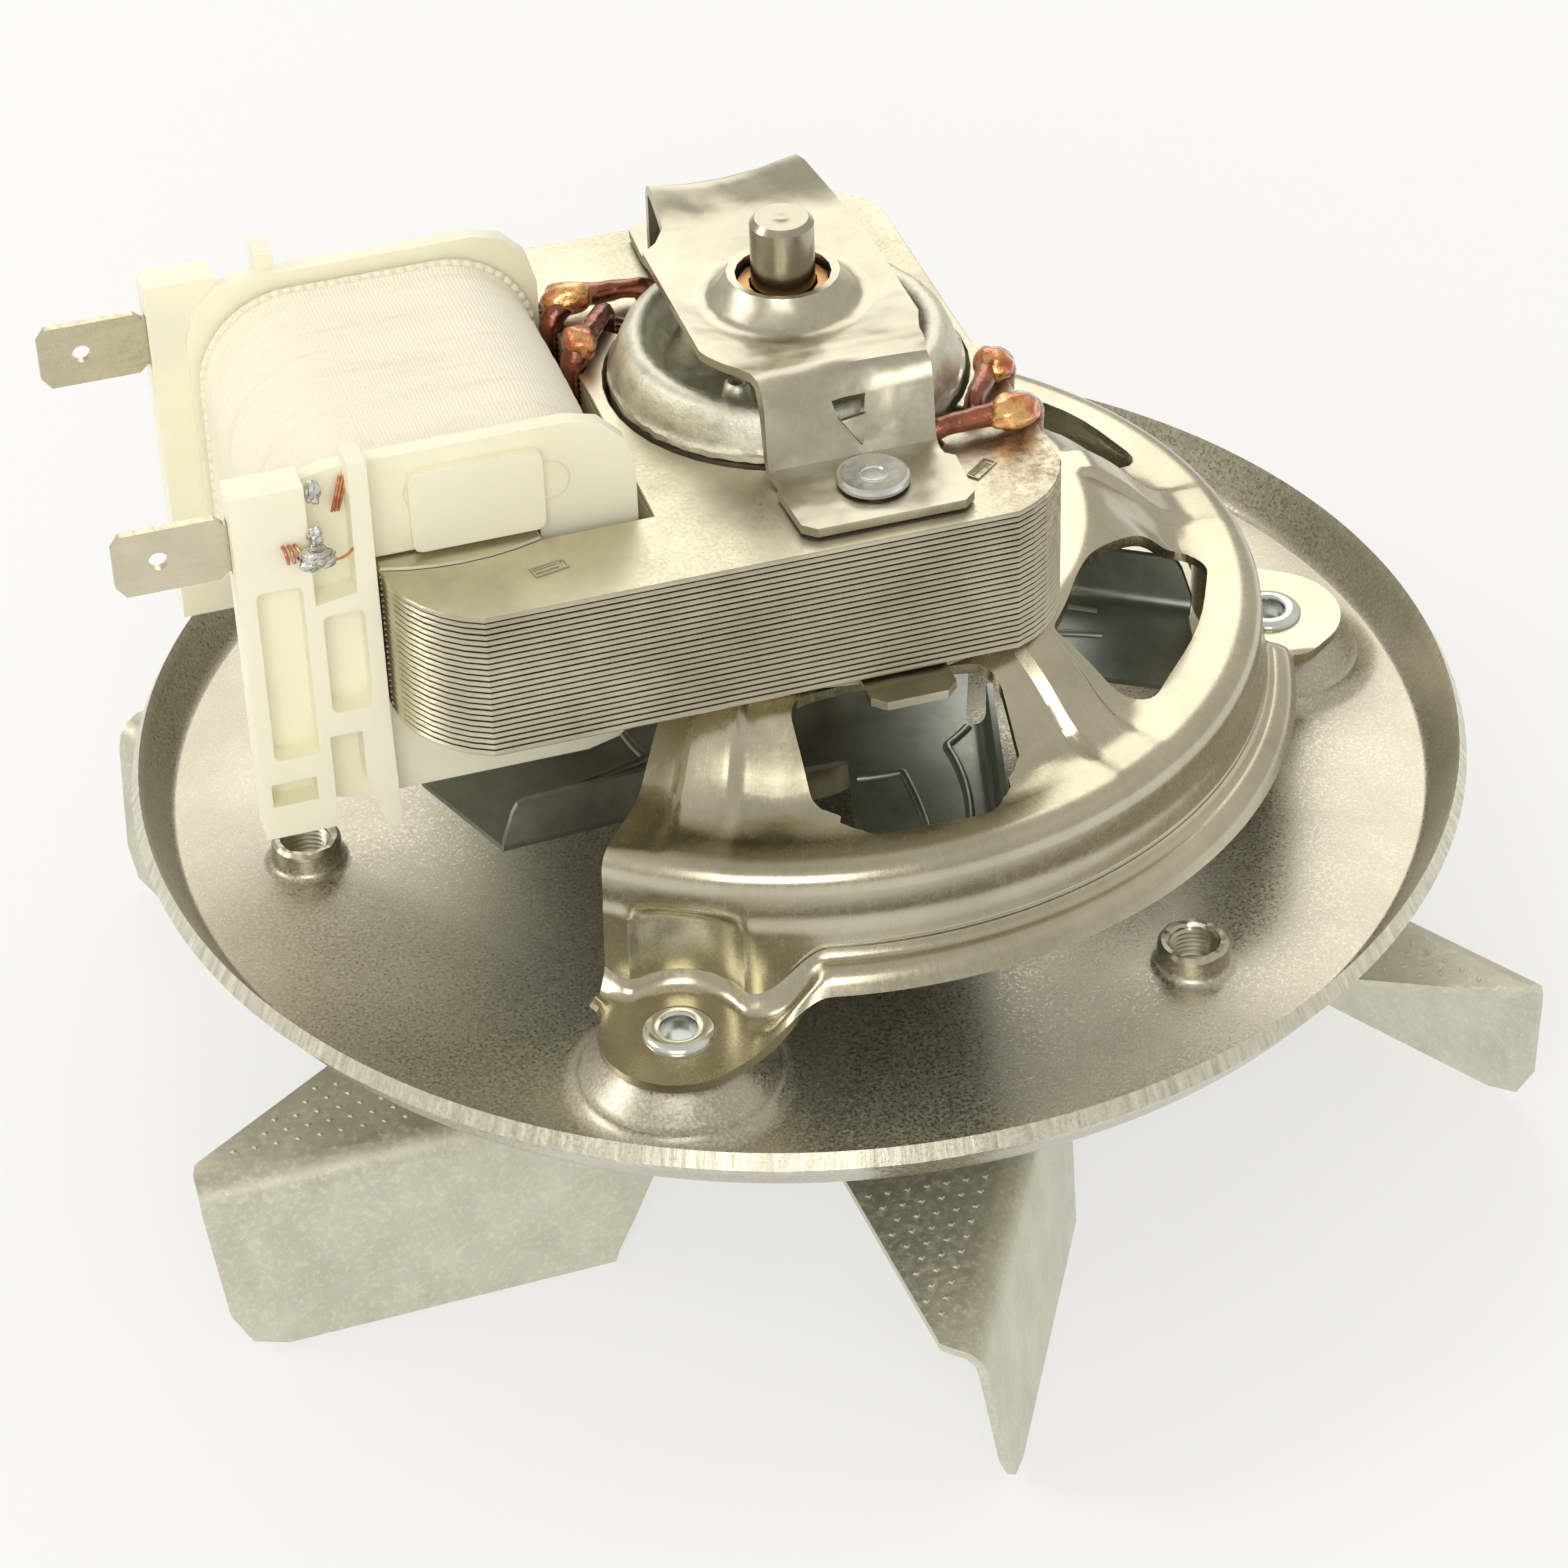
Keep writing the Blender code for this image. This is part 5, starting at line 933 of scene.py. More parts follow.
def bell_section(degrees):
    """The outer surface from the top bore to the free edge, as a soft path of radius and height."""
    ear_offset = min(abs(degrees - a) for a in SEAT_ANGLES)
    arc = math.radians(ear_offset) * BOSS_CIRCLE
    offsets = [degrees - a for a in RIB_ANGLES]
    rib_arc = math.radians(min(offsets, key=abs)) * 34.0
    rib = 1.15 * ease((2.9 - abs(rib_arc)) / 1.1)
    hollow = 0.55 * ease(1 - abs(rib_arc + 6.0) / 3.6) + 0.55 * ease(1 - abs(rib_arc - 6.0) / 3.6)
    sine = BOSS_CIRCLE * math.sin(math.radians(ear_offset))
    cosine = BOSS_CIRCLE * math.cos(math.radians(ear_offset))
    wall = BELL_WALL
    if abs(sine) < EAR_POCKET:
        wall = min(wall, cosine - math.sqrt(EAR_POCKET ** 2 - sine ** 2))
    depth = BELL_WALL - wall
    beyond = abs(degrees) > SEAT_ANGLES[-1]
    turn_in = EAR_RADIUS if beyond else EAR_RADIUS * 0.8
    lip = BELL_LIP
    if sine < turn_in:
        lip = max(lip, cosine + math.sqrt(EAR_RADIUS ** 2 - sine ** 2))
    elif sine < turn_in + 8.0 and not beyond:
        reach = math.sqrt(BOSS_CIRCLE ** 2 - turn_in ** 2) + EAR_RADIUS * 0.6 - lip
        lip += reach * (1 - (sine - turn_in) / 8.0) ** 2
    down = 1 - ease((arc - 6.6) / 7.5)
    slope = ROOF_RADIUS - TOP_RADIUS
    crease = WALL_FOOT * (1 - down) + (EAR_TOP + 1.7) * down
    ridge = 0.14 * (1 - down)
    points = [
        (TOP_BORE, BELL_TOP), (TOP_RADIUS, BELL_TOP), (TOP_RADIUS + slope * 0.15, BELL_TOP - 1 + rib),
        (TOP_RADIUS + slope * 0.4, (BELL_TOP + ROOF) / 2 + 0.7 + rib - hollow),
        (TOP_RADIUS + slope * 0.66, ROOF + 1.2 + rib - hollow),
        (ROOF_RADIUS - 1.6, ROOF + 0.15 + rib * 0.3), (BELL_WALL - 0.5, ROOF + 0.1),
        (BELL_WALL - 0.45, ROOF - 5.0), (wall - 0.2 + depth * 0.1, WALL_FOOT + 1.9),
        (wall, crease + 0.55), (wall + ridge, crease + 0.3), (wall, crease),
        (wall + 0.45 + 0.1 * down, crease - 0.9 - 0.3 * down),
        (wall + 1.5, (crease - 1.0) * (1 - down) + EAR_TOP * down),
        (wall + 1.5 + (lip - wall - 1.5) * 0.6, (WALL_FOOT - 1.7) * (1 - down) + EAR_TOP * down),
        (lip, LIP_HEIGHT * (1 - down) + EAR_TOP * down)]
    radii = [0.8, 1.2, 2.0, 2.0, 1.5, 4.3, 2.0, 2.0, 0.2, 0.12, 0.12, 0.7, 0.7, 1.0]
    return soft_corners(points, radii)


def bell_stations():
    """Angles along the strip, closer together where an ear or a rib shapes it."""
    angles, angle = [], -BELL_SPAN
    while angle < BELL_SPAN:
        angles.append(angle)
        near = min(abs(angle - a) for a in RIB_ANGLES)
        angle += 0.75 if near < 16 else 1.5
    return angles + [BELL_SPAN]


print("stations along the bell:", len(bell_stations()))

# %% [markdown]
# ## Windows in the bell bracket
# Each window is a soft outline made into a block, and the blocks are cut from the finished sheet.
# The torn window gets small teeth along its blunt side. Two flat lands reach inward from the top
# ring, and the stator's rivets pass through them.

# %% Bell windows


def worn(outline, start, stop, size):
    """Small teeth along part of an outline, left by a blunt punch."""
    dice = random.Random(3)
    fine = []
    for k, (a, b) in enumerate(zip(outline, outline[1:] + outline[:1])):
        fine.append(a)
        if start <= k < stop and (b - a).length > 0.8:
            parts = int((b - a).length / 0.45)
            side = Vector((b.y - a.y, a.x - b.x)).normalized()
            fine += [a.lerp(b, j / parts) + side * dice.uniform(-size, size) for j in range(1, parts)]
    return fine


def bell_tools():
    """Windows and holes to cut, and the two inner lands to join."""
    cuts = bmesh.new()
    torn = soft_ring([polar(*corner) for corner in TORN_WINDOW], TORN_CORNERS, 3)
    outlines = [worn(torn, 10, 48, 0.07)]
    for window, corners in ((SMOOTH_WINDOW, SMOOTH_CORNERS), (REAR_WINDOW, PLAIN_CORNERS),
                            (BACK_WINDOW, PLAIN_CORNERS)):
        outlines.append(soft_ring([polar(*corner) for corner in window], corners))
    for outline in outlines:
        add_prism(cuts, outline, ROOF - 6, BELL_TOP + 3)
    for degrees in SEAT_ANGLES:
        add_bar(cuts, 2.5, EAR_TOP - 3, EAR_TOP + 2, polar(BOSS_CIRCLE, degrees), 40)
    lands, holes = bmesh.new(), bmesh.new()
    for side, x, y in ((-1, 1.1, 22.7), (1, 0.0, 24.5)):
        inner, outer = side * (y - 3.4), side * (TOP_BORE + 0.8)
        half, corner = LAND_HALF, LAND_CORNER
        add_prism(lands, [(x - half, outer * 0.97), (x - half + 2, inner), (x + half - 2, inner),
                          (x + half, outer * 0.97), (x + half - corner, outer), (x - half + corner, outer)],
                  BELL_TOP - SHEET, BELL_TOP)
        add_bar(holes, 2.3, BELL_TOP - 4, BELL_TOP + 2, (x, side * y), 32)
    return (("DIFFERENCE", cuts), ("UNION", lands), ("DIFFERENCE", holes))


def add_bell():
    rows = [[(*polar(place.x, degrees), place.y) for place in bell_section(degrees)]
            for degrees in bell_stations()]
    build = bmesh.new()
    bent_grid(build, rows)
    face_up(build)
    finished("drawn_bell", shaped(build, SHEET, bell_tools()), "bright_steel", 32.0, "bell_bracket")


add_bell()

# %% [markdown]
# ## The taped coil
# The coil is wound on the bobbin and then wrapped in woven tape. The tape runs round in a slow
# helix and each turn laps the last, so its edges show as low steps. A UV map follows the wrap, and
# the weave is drawn on it.

# %% Taped coil
COIL_X, COIL_HEIGHT = -36.475, 37.7
COIL_HALF_X, COIL_HALF_Z = 16.0, 16.4
COIL_CORNER = 9.0
COIL_REACH = 15.9
COIL_BULGE = 0.35
COIL_INNER_X, COIL_INNER_Z = 9.2, 9.2
TAPE_PITCH = 3.4
TAPE_STEP = 0.13
EDGE_CORD = 0.22
COIL_STATIONS = 90
COIL_GIRTH = 110 * MM


def wrap_outline(inset, steps, straight):
    """The coil's section, a rectangle with round corners, as points one after another."""
    half_x, half_z = COIL_HALF_X - inset - COIL_CORNER, COIL_HALF_Z - inset - COIL_CORNER
    points = []
    for sign_x, sign_z, start in ((1, 1, 0), (-1, 1, 90), (-1, -1, 180), (1, -1, 270)):
        for k in range(steps):
            x, z = polar(COIL_CORNER, start + 90 * k / (steps - 1))
            points.append((sign_x * half_x + x, sign_z * half_z + z))
    full = []
    for (ax, az), (bx, bz) in zip(points, points[1:] + points[:1]):
        parts = straight if math.hypot(bx - ax, bz - az) > 3 else 1
        full += [(ax + (bx - ax) * k / parts, az + (bz - az) * k / parts) for k in range(parts)]
    return full


def wrap_height(share, y):
    """How far the tape stands out: bulge, lapped turns and the cord at both ends."""
    turn = (y + COIL_REACH) / TAPE_PITCH + share
    lap = turn % 1.0
    step = TAPE_STEP * min(1.0, (1.0 - lap) * 6.0) * lap
    edge = (COIL_REACH - abs(y)) / 0.9
    cord = EDGE_CORD * max(0.0, 1.0 - (edge - 1.2) ** 2) if edge < 2.2 else 0.0
    return COIL_BULGE * math.cos(math.pi / 2 * y / COIL_REACH) + step + cord


def add_taped_coil():
    outer = wrap_outline(0.35, 12, 8)
    build = bmesh.new()
    uv = build.loops.layers.uv.new("wrap")
    first = [build.verts.new(at(COIL_X + x, -COIL_REACH, COIL_HEIGHT + z)) for x, z in outer]
    edges = [build.edges.new(pair) for pair in zip(first, first[1:] + first[:1])]
    for _ in range(COIL_STATIONS):
        made = bmesh.ops.extrude_edge_only(build, edges=edges)["geom"]
        fresh = [v for v in made if isinstance(v, bmesh.types.BMVert)]
        edges = [e for e in made if isinstance(e, bmesh.types.BMEdge)
                 and all(v in fresh for v in e.verts)]
        bmesh.ops.translate(build, verts=fresh, vec=(0, 2 * COIL_REACH / COIL_STATIONS * MM, 0))
    centre = at(COIL_X, 0, COIL_HEIGHT)
    box_x, box_z = (COIL_HALF_X - COIL_CORNER) * MM, (COIL_HALF_Z - COIL_CORNER) * MM
    for vert in build.verts:
        out = Vector((vert.co.x - centre.x, 0, vert.co.z - centre.z))
        share = math.atan2(out.z, out.x) / math.tau
        grow = wrap_height(share, vert.co.y / MM) * MM
        way = Vector((out.x - max(-box_x, min(box_x, out.x)), 0, out.z - max(-box_z, min(box_z, out.z))))
        vert.co += way.normalized() * grow
    for face in build.faces:
        middle = face.calc_center_median() - centre
        last = (math.atan2(middle.z, middle.x) / math.tau) % 1.0 > 0.9
        for loop in face.loops:
            place = loop.vert.co - centre
            round_share = (math.atan2(place.z, place.x) / math.tau) % 1.0
            if last and round_share < 0.1:
                round_share += 1.0
            loop[uv].uv = (round_share * COIL_GIRTH, place.y)
    ends = [e for e in build.edges if e.is_boundary]
    inner = bmesh.ops.extrude_edge_only(build, edges=ends)["geom"]
    for vert in (v for v in inner if isinstance(v, bmesh.types.BMVert)):
        vert.co.x = centre.x + (vert.co.x - centre.x) * COIL_INNER_X / COIL_HALF_X
        vert.co.z = centre.z + (vert.co.z - centre.z) * COIL_INNER_Z / COIL_HALF_Z
    rims = [e for e in build.edges if e.is_boundary]
    bmesh.ops.bridge_loops(build, edges=rims)
    finished("taped_coil", build, "woven_tape", 60.0, "coil_winding")


add_taped_coil()

# %% [markdown]
# ## Cord, joints and thin wire
# A cotton cord is laid round both ends of the coil to hold the tape. The winding's ends come out
# beside the front terminal, where one is wrapped round the tab's pin and soldered.

# %% Cord and joints
STRAP_FOOT = 46.4
CORD_RADIUS, CORD_ASIDE = 0.36, 15.35
SOLDER = (((-49.6, -21.3, 48.9), (1.7, 1.0, 1.1)), ((-49.2, -20.0, 55.0), (0.7, 0.5, 1.3)),
          ((-49.5, -20.9, 51.0), (0.6, 0.5, 1.0)))
LEAD = ((-49.0, -21.5, 48.7), (-47.4, -21.2, 48.2), (-45.8, -20.0, 48.6), (-44.4, -18.6, 49.4))
STRAND = ((-46.4, -18.3, 55.0), (-46.8, -18.4, 53.4), (-47.4, -18.5, 51.6))
TURN_START, TURN_AXIS, TURN_PITCH, TURN_STEPS = (-52.5, -20.9, 49.6), (0.75, 0.8), 0.045, 12
TONGUE, TONGUE_THICK, TONGUE_LEAN, TONGUE_FACE = ((-0.15, 3.6), (1.6, 1.15), (2.3, 3.9)), 0.5, 0.35, -18.3
STAKE_HALVES, STAKE_HEIGHT, STAKE_BURR = (1.6, 0.65), 45.28, 0.12
STAKES = ((-29.6, -24.3, 12.0), (11.5, -22.3, 40.0), (-29.6, 24.3, -12.0), (11.5, 22.3, -40.0))
EJECTOR_MARKS, EJECTOR_RADIUS, FLANGE_FACE = ((-38.8, 51.4), (-27.7, 50.1)), 2.0, -17.82


def add_cord(y, label):
    """A twisted cord round the coil: a wire whose thickness swells at every twist."""
    loop = wrap_outline(0.05, 26, 26)
    points = [(COIL_X + x, y + 0.12 * (-1) ** k, COIL_HEIGHT + z) for k, (x, z) in enumerate(loop)]
    shares = [1.25 if k % 2 else 0.75 for k in range(len(points))]
    build = wire_mesh(points, CORD_RADIUS, shares, closed=True, sides=2)
    finished("cord_" + label, build, "woven_tape", 80.0, look="cotton_cord")


def add_bare_wire(name, points, radius):
    """Thin wire, marked as bright bare copper like the melted ends of the rings."""
    build = wire_mesh(points, radius, sides=2)
    bright = build.verts.layers.float.new("bead")
    for vert in build.verts:
        vert[bright] = 1.0
    finished(name, build, "varnished_copper", 60.0)


def add_joint():
    """The soldered pin with two turns of wire, and the thin wire that leaves it."""
    build = bmesh.new()
    for place, radii in SOLDER:
        add_blob(build, place, radii, 0, 0.5)
    finished("solder_joint", build, "tinned_brass", 60.0, look="solder")
    x, y, z = TURN_START
    wide, high = TURN_AXIS
    turns = []
    for k in range(28):
        angle = math.tau * k / TURN_STEPS
        turns.append((x + TURN_PITCH * k, y + wide * math.cos(angle), z + high * math.sin(angle)))
    add_bare_wire("wire_turns", turns + [(-50.6, -21.6, 49.2)], 0.17)
    add_bare_wire("wire_lead", LEAD, 0.14)
    for k in range(3):
        add_bare_wire("wire_strand_%d" % k, [(x + 0.3 * k, y, z) for x, y, z in STRAND], 0.13)


def add_tongue():
    """The tongue lanced out of the strap's front leg: a three-cornered flap that leans inward."""
    build = bmesh.new()
    add_prism(build, TONGUE, 0.0, TONGUE_THICK)
    for vert in build.verts:
        across, up, depth = vert.co.x / MM, vert.co.y / MM, height_of(vert.co.z)
        vert.co = at(across, TONGUE_FACE + depth + TONGUE_LEAN * (up - 1.5), STRAP_FOOT + up)
    bmesh.ops.recalc_face_normals(build, faces=build.faces)
    bmesh.ops.bevel(build, geom=build.edges[:], offset=0.12 * MM, segments=2, profile=0.5,
                    affect="EDGES", clamp_overlap=True, material=-1)
    finished("strap_tongue", build, "zinc_steel", 30.0)


def add_stake_rims():
    """The raised burr round the four staking marks that lock the sheets together."""
    half_x, half_y = STAKE_HALVES
    for k, (x, y, degrees) in enumerate(STAKES):
        turn = Matrix.Rotation(math.radians(degrees), 3, "Z")
        signs = ((-1, -1), (1, -1), (1, 1), (-1, 1))
        corners = [turn @ Vector((a * half_x, b * half_y, 0)) for a, b in signs]
        rim = [(x + corner.x, y + corner.y, STAKE_HEIGHT) for corner in corners]
        finished("stake_rim_%d" % k, wire_mesh(rim, STAKE_BURR, closed=True, sides=1, smooth=False),
                 "lamination_steel", 20.0)


def add_flange_marks():
    """Two ejector rings on the front flange, left by the mould's pins."""
    circle = [polar(EJECTOR_RADIUS, 360 * j / 24) for j in range(24)]
    for k, (x, height) in enumerate(EJECTOR_MARKS):
        ring = [(x + a, FLANGE_FACE, height + b) for a, b in circle]
        finished("ejector_mark_%d" % k, wire_mesh(ring, 0.09, closed=True, sides=1), "cream_plastic", 80.0)


add_cord(-CORD_ASIDE, "front")
add_cord(CORD_ASIDE, "rear")
add_joint()
add_flange_marks()
add_stake_rims()
add_tongue()

# %% [markdown]
# ## Shading rings
# Two closed turns of thick copper round part of each pole delay its field, which is what makes
# the rotor start in one direction. The wire is bent into the slot and brazed where its ends meet,
# so each ring has a fat, glossy bead at its outer corner.

# %% Shading rings
SHADE_RADIUS = 0.98
SHADE_TOP, SHADE_BOTTOM = 46.85, 28.55
SHADE_ROUGH = (0.16, 900)
SHADE_SHARES = (1, 1, 1, 1, 1.15, 1.3, 1.3, 1.2, 0.95, 1, 1.1, 1.1, 1, 1)
RING_PLACES = {
    "rear_outer": (polar(18.7, 117.0), (-18.9, 14.8), (-16.3, 16.5)),
    "rear_inner": (polar(19.5, 134.4), (-18.9, 7.0), (-17.4, 8.4)),
    "front_outer": (polar(18.7, -63.0), (19.2, -14.8), (16.3, -16.5)),
    "front_inner": (polar(19.5, -45.6), (19.2, -7.0), (17.4, -8.4)),
}
BEADS = {
    "rear_outer": ((-16.8, 16.1, 47.3), (2.6, 1.7, 1.6), -5.0),
    "rear_inner": ((-17.8, 8.0, 47.2), (1.6, 1.8, 1.7), 20.0),
    "front_outer": ((16.5, -17.0, 47.2), (2.5, 1.9, 1.7), 8.0),
    "front_inner": ((17.4, -9.0, 47.3), (1.7, 2.0, 1.6), 30.0),
}


def add_shading_ring(label):
    """A ring's path: up through the slot, over to the bead, down the open side and back."""
    (ix, iy), (ox, oy), (hx, hy) = RING_PLACES[label]
    top, low = SHADE_TOP, SHADE_BOTTOM
    half = ((ix + hx) / 2, (iy + hy) / 2)
    path = [(ix, iy, low + 1.6), (ix, iy, top - 1.6), (ix, iy, top - 0.2), (*half, top + 0.1),
            (ix + (hx - ix) * 0.75, iy + (hy - iy) * 0.75, top + 0.15), (hx, hy, top + 0.3),
            ((hx + ox) / 2, (hy + oy) / 2, top + 0.1), (ox, oy, top - 1.3), (ox, oy, top - 3.0),
            (ox, oy, low + 2.0), ((hx + ox) / 2, (hy + oy) / 2, low + 0.2), (hx, hy, low),
            (*half, low), (ix, iy, low + 0.2)]
    build = wire_mesh(path, SHADE_RADIUS, SHADE_SHARES, closed=True, sides=5)
    heads = [v for v in build.verts if v.co.z > at(0, 0, top - 2).z]
    roughen(build, *SHADE_ROUGH, heads)
    melted = build.verts.layers.float.new("bead")
    for vert in add_blob(build, *BEADS[label]):
        vert[melted] = 1.0
    node = "shading_ring_" + label
    finished(node + "_wire", build, "varnished_copper", 80.0, node)


for label in RING_PLACES:
    add_shading_ring(label)

# %% [markdown]
# ## Rotor end rings
# The cage is aluminium cast straight onto the rotor. Its ring is rough, with flash at the rim, a
# dished face inside and short pins for balancing washers.

# %% Rotor cage
RING_PROFILE = ((6.0, 45.5), (6.0, 46.5), (11.3, 46.5), (11.8, 46.8), (12.3, 48.3), (12.8, 49.5),
                (13.4, 49.95), (14.1, 50.05), (14.8, 49.9), (15.3, 49.4), (15.8, 48.4), (16.3, 46.9),
                (16.45, 46.3), (16.75, 46.1), (16.8, 45.5))
STACK_MIDDLE = 37.7
CAST_ROUGH = ((0.1, 700), (0.06, 2500))
FLASH_RADIUS, FLASH_HEIGHT = 16.6, 0.5
BAR_COUNT = 12
BAR_CIRCLE, BAR_RADIUS = 13.6, 1.3
PIN_CIRCLE = 9.5
PIN_PROFILE = ((0.55, 47.5), (0.55, 49.2), (0.9, 49.35), (1.2, 49.1), (1.4, 48.0), (1.7, 46.4), (0.55, 46.4))


def add_rotor_cage():
    build = bmesh.new()
    spin_profile(build, RING_PROFILE, 120)
    spin_profile(build, [(r, 2 * STACK_MIDDLE - z) for r, z in RING_PROFILE], 60)
    for amount, scale in CAST_ROUGH:
        roughen(build, amount, scale)
    for vert in build.verts:
        if math.hypot(vert.co.x, vert.co.y) > FLASH_RADIUS * MM:
            flash = wobble.noise(Vector((vert.co.x, vert.co.y, 0)) * 900)
            vert.co.z += max(-0.2, flash) * FLASH_HEIGHT * MM
    for k in range(BAR_COUNT):
        add_bar(build, BAR_RADIUS, 29.5, 45.9, polar(BAR_CIRCLE, 360 * k / BAR_COUNT), 10)
    for k in range(4):
        spin_profile(build, PIN_PROFILE, 16, polar(PIN_CIRCLE, 45 + 90 * k))
    finished("cast_cage", build, "cast_rotor", 50.0, "rotor_cage", body="rotor")


add_rotor_cage()

# %% [markdown]
# ## Shaft, rivets and pulled threads
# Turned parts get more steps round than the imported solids, and the small steps that a lathe or a
# riveting punch leaves.

# %% Turned parts
SHAFT_END = 61.6
EAR_RIVETS = {"front": -120, "right": 0, "rear": 120}
EAR_RIVET_PROFILE = ((1.7, 2.3), (1.7, 5.7), (1.78, 6.05), (2.05, 6.24), (2.4, 6.25), (2.75, 6.18),
                     (3.15, 6.0), (3.38, 5.75), (3.4, 5.5), (2.2, 5.5), (2.2, 3.0), (3.2, 3.0), (2.5, 2.2))
THREAD_ROOT, THREAD_CREST, THREAD_PITCH = 2.26, 1.98, 0.52


def add_shaft():
    """A ground shaft: chamfer, a faced end with a slight hollow, and a plain tail."""
    low = height_of(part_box("shaft")[0].z)
    build = bmesh.new()
    spin_profile(build, ((0.0, SHAFT_END - 0.12), (0.5, SHAFT_END - 0.1), (0.7, SHAFT_END - 0.02),
                         (1.5, SHAFT_END - 0.03), (2.3, SHAFT_END), (2.5, SHAFT_END), (3.0, SHAFT_END - 0.55),
                         (3.0, low + 0.5), (2.5, low), (0.0, low)), 72)
    finished("ground_shaft", build, "shaft_steel", 25.0, "shaft", body="rotor")


def add_stator_rivet(label, x, y):
    """A solid rivet: a flat head with the punch's ring, a shank and a clinched tail."""
    base, top = (height_of(corner.z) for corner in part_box("stator_rivet_" + label))
    build = bmesh.new()
    spin_profile(build, ((0.0, top - 0.16), (1.0, top - 0.16), (1.12, top - 0.04), (1.3, top - 0.04),
                         (1.42, top - 0.12), (2.4, top - 0.08), (3.05, top), (3.3, top - 0.15),
                         (3.4, top - 0.45), (3.3, top - 0.8), (2.0, top - 0.8), (2.0, base + 1.0),
                         (2.9, base + 1.0), (2.6, base + 0.1), (0.0, base)), 48, (x, y))
    finished("headed_rivet_" + label, build, "zinc_steel", 30.0, "stator_rivet_" + label, look="rivet_zinc")


def add_ear_rivet(label, degrees):
    """A tubular rivet with a rolled rim and a flared tail."""
    build = bmesh.new()
    spin_profile(build, EAR_RIVET_PROFILE, 40, polar(BOSS_CIRCLE, degrees))
    finished("rolled_rivet_" + label, build, "zinc_steel", 40.0, "ear_rivet_" + label, look="rivet_zinc")


def add_pulled_thread(degrees):
    """Ridges of the thread and the torn crown of a hole pulled up through the sheet."""
    centre = polar(BOSS_CIRCLE, degrees)
    build = bmesh.new()
    profile = [(THREAD_ROOT, -0.9)]
    for k in range(6):
        base = -0.8 + THREAD_PITCH * k
        profile += [(THREAD_ROOT, base + 0.05), (THREAD_CREST, base + 0.26), (THREAD_ROOT, base + 0.47)]
    profile += [(2.3, 2.5), (2.55, 2.78), (3.0, 2.8), (3.36, 2.5), (3.4, 2.1), (3.0, 1.6), (2.5, 1.0)]
    spin_profile(build, profile, 56, centre)
    middle = at(*centre, 0)
    for vert in build.verts:
        if vert.co.z > at(0, 0, 2.3).z:
            angle = math.atan2(vert.co.y - middle.y, vert.co.x - middle.x)
            vert.co.z += (0.16 * abs(math.sin(4 * angle + 0.4)) - 0.12
                          + 0.12 * wobble.noise(vert.co * 1200)) * MM
    finished("thread_%d" % degrees, build, "zinc_steel", 30.0)


add_shaft()
add_stator_rivet("front", 1.1, -22.7)
add_stator_rivet("rear", 0.0, 24.5)
for label, degrees in EAR_RIVETS.items():
    add_ear_rivet(label, degrees)
for degrees in PULL_ANGLES:
    add_pulled_thread(degrees)

# %% [markdown]
# ## Marks pressed into the fans
# The impeller's blank carries a grid of small square marks from the coil it was cut from. They are
# placed only where the flat sheet lies under them. The cooling fan's vanes are stiffened by ridges.

# %% Marks on the fans
DOT_PITCH = 1.85
DOT_HALF = 0.27
FIRST_DOT = 53.0
FIRST_BLADE = -95.05
LEVEL_STEP, RIDGE_STEP = 0.02, 0.3
RIDGE_SINK = 0.1
RIDGE_PATHS = (((30.5, -83.4), (21.0, -78.5), (19.8, -95.0), (26.0, -100.0)),
               ((31.0, -75.7), (20.4, -62.6), (20.0, -46.0), (27.0, -38.0)))


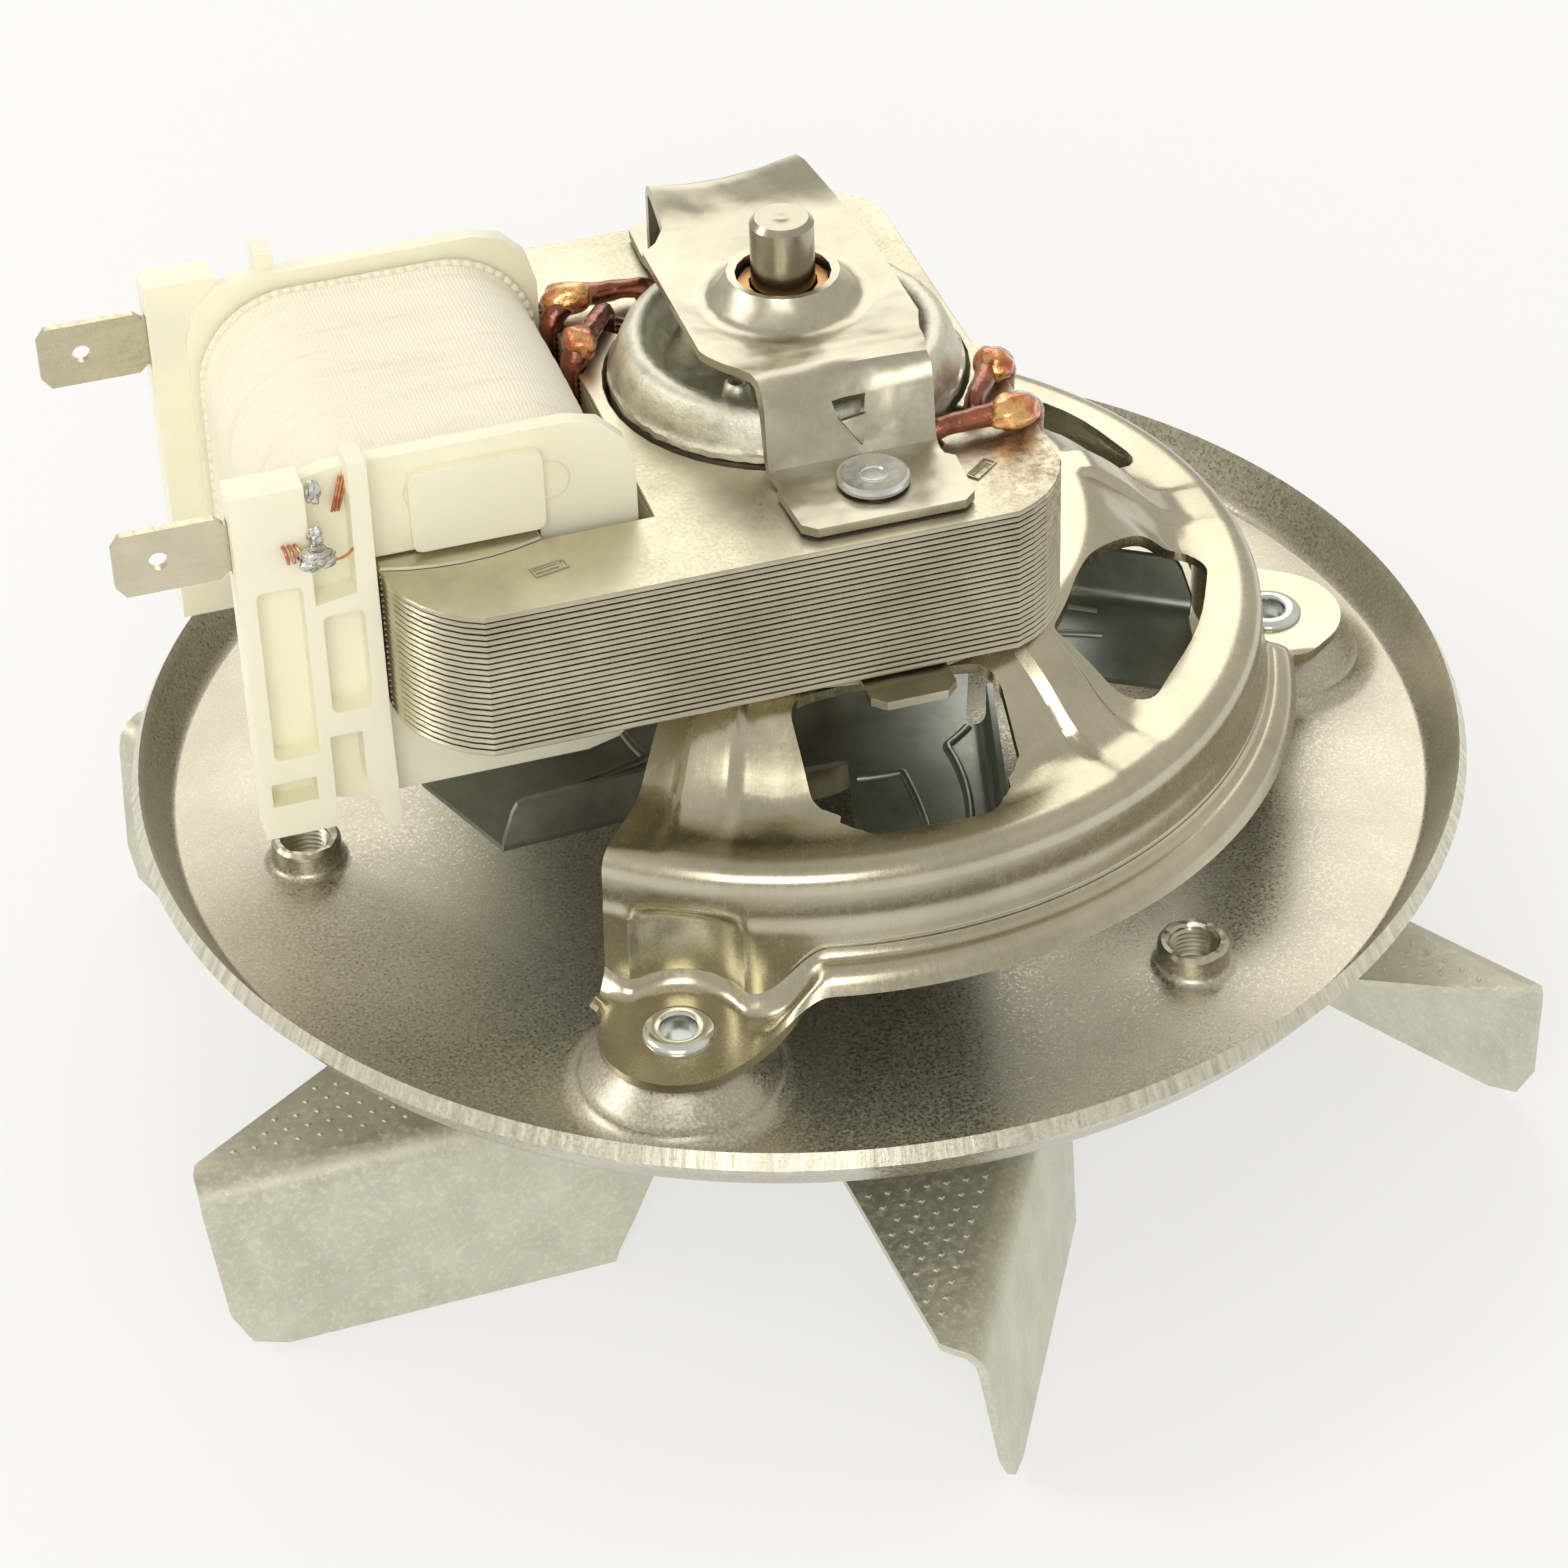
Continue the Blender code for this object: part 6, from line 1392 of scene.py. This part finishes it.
def sheet_height(tree, x, y):
    """Height of a level sheet under a place, or None where there is no level sheet."""
    hit, normal, _, _ = tree.ray_cast(at(x, y, 30.0), Vector((0, 0, -1)))
    if hit is None or normal.z < 0.99:
        return None
    return height_of(hit.z)


def fan_tree(node):
    build = bmesh.new()
    build.from_mesh(nodes[node].data)
    tree = BVHTree.FromBMesh(build)
    build.free()
    return tree


def add_dots():
    tree = fan_tree("main_fan")
    build = bmesh.new()
    for blade in range(6):
        turn = math.radians(FIRST_BLADE + 60 * blade)
        for row in range(-8, 9):
            for column in range(13):
                along = FIRST_DOT + column * DOT_PITCH
                across = (row + 0.5 * (column % 2)) * DOT_PITCH
                x = along * math.cos(turn) - across * math.sin(turn)
                y = along * math.sin(turn) + across * math.cos(turn)
                heights = [sheet_height(tree, x + dx, y + dy) for dx in (-0.8, 0.8) for dy in (-0.8, 0.8)]
                if None in heights or max(heights) - min(heights) > LEVEL_STEP:
                    continue
                made = bmesh.ops.create_cone(build, cap_ends=True, segments=4, radius1=DOT_HALF * 1.5 * MM,
                                             radius2=DOT_HALF * 0.7 * MM, depth=0.16 * MM)["verts"]
                bmesh.ops.translate(build, verts=made, vec=at(x, y, heights[0] + 0.05))
    finished("pressed_dots", build, "aluminised_sheet", 20.0, body="rotor")


def ridge_runs(tree, path, turn):
    """The path laid on the sheet, cut into runs wherever the level sheet ends or steps."""
    runs, run = [], []
    for (ra, da), (rb, db) in zip(path, path[1:]):
        for k in range(8):
            t = k / 8
            x, y = polar(ra + (rb - ra) * t, da + (db - da) * t + turn)
            height = sheet_height(tree, x, y)
            if height is None or (run and abs(height - RIDGE_SINK - run[-1][2]) > RIDGE_STEP):
                runs.append(run)
                run = []
            if height is not None:
                run.append((x, y, height - RIDGE_SINK))
    runs.append(run)
    return [places for places in runs if len(places) > 4]


def add_ridges():
    tree = fan_tree("cooling_fan")
    build = bmesh.new()
    for blade in range(5):
        for path in RIDGE_PATHS:
            for places in ridge_runs(tree, path, 72 * blade):
                merge(build, wire_mesh(places, 0.5))
    finished("vane_ridges", build, "galvanised_sheet", 60.0, body="rotor")


add_dots()
add_ridges()
